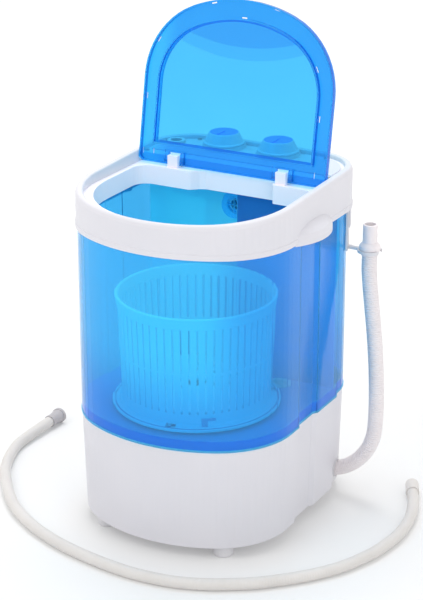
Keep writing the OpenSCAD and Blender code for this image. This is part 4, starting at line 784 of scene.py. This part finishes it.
def dial_marks(name, knob_x, steps, sweep, numbered):
    """Ticks clockwise from the pointer's place at the front, with a number at some of them."""
    centre = Vector((knob_x, KNOB_Y, PANEL_TOP))
    verts, faces = [], []
    for step in range(steps + 1):
        turn = math.radians(sweep) * step / steps
        out = Vector((-math.sin(turn), -math.cos(turn), 0))
        long = step % numbered == 0
        tick_end, half_width = LONG_TICK if long else SHORT_TICK
        inner, outer = centre + out * TICK_START, centre + out * tick_end
        if outer.y > PANEL_BACK:
            continue
        side = out.cross(Vector(ALONG_Z)) * half_width
        first = len(verts)
        for lift in (0, TICK_LIFT):
            verts += [p + Vector((0, 0, lift))
                      for p in (inner - side, inner + side, outer + side, outer - side)]
        faces += [tuple(first + i for i in face) for face in (
            (4, 5, 6, 7), (0, 1, 5, 4), (1, 2, 6, 5), (2, 3, 7, 6), (3, 0, 4, 7))]
        spot = centre + out * NUMBER_REACH
        if long and spot.y < PANEL_BACK - NUMBER_MARGIN:
            dial_number(f"{name}_{step}", str(step), spot)
    mesh = bpy.data.meshes.new(name)
    mesh.from_pydata(verts, [], faces)
    fit(new_piece(name, mesh), "dial_print", "cabinet")


dial_marks("wash_marks", -0.057, steps=15, sweep=330, numbered=3)
dial_marks("spin_marks", 0.033, steps=5, sweep=300, numbered=1)

# Floor, soft studio lights and a white surround
FLOOR_REACH, FLOOR_DROP = 25.0, 0.0004
NEAR_GLOW, FAR_GLOW, GLOW_CHANGE_AT, GLOW_SOFTNESS = 0.16, 0.43, 1.3, 0.9
floor_mesh = bpy.data.meshes.new("studio_floor")
floor_mesh.from_pydata(
    [(-FLOOR_REACH, -FLOOR_REACH, 0), (FLOOR_REACH, -FLOOR_REACH, 0),
     (FLOOR_REACH, FLOOR_REACH, 0), (-FLOOR_REACH, FLOOR_REACH, 0)], [], [(0, 1, 2, 3)])
studio_floor = new_piece("studio_floor", floor_mesh)
studio_floor.location.z = -FLOOR_DROP
paper, paper_shader, _ = finish_base(
    "studio_paper", (0.70, 0.70, 0.70), (0.69, 0.69, 0.69), (0.8, 0.9), patches=1.0)
dress(studio_floor, "studio_paper")
# The paper is lit from below away from the machine, so that it stays white to its edge
glow_mix = add(paper, "ShaderNodeMix", data_type="RGBA")
glow_mix.inputs[MIX_FIRST].default_value = rgba([FAR_GLOW] * 3)
glow_mix.inputs[MIX_SECOND].default_value = rgba([NEAR_GLOW] * 3)
near = zone("studio_paper", (0, 0, 0), ROUND_Z, GLOW_CHANGE_AT, GLOW_SOFTNESS)
paper.links.new(near, glow_mix.inputs["Factor"])
paper.links.new(glow_mix.outputs[MIX_RESULT], paper_shader.inputs["Emission Color"])
paper_shader.inputs["Emission Strength"].default_value = 1.0


def soft_light(name, place, aim, side, power):
    data = bpy.data.lights.new(name, "AREA")
    data.size = side
    data.energy = power
    lamp = new_piece(name, data)
    lamp.location = place
    lamp.rotation_euler = (Vector(aim) - Vector(place)).to_track_quat("-Z", "Y").to_euler()


soft_light("key_light", (-1.1, -1.9, 2.4), (0, 0, 0.3), side=1.6, power=16)
soft_light("fill_light", (2.2, -1.2, 1.5), (0, 0, 0.3), side=1.4, power=10)
soft_light("top_light", (-0.35, 0.6, 2.5), (0, 0, 0.2), side=1.3, power=26)
surround = bpy.data.worlds.new("studio")
surround.use_nodes = True
surround.node_tree.nodes["Background"].inputs["Color"].default_value = (1, 1, 1, 1)
surround.node_tree.nodes["Background"].inputs["Strength"].default_value = 0.82
scene.world = surround
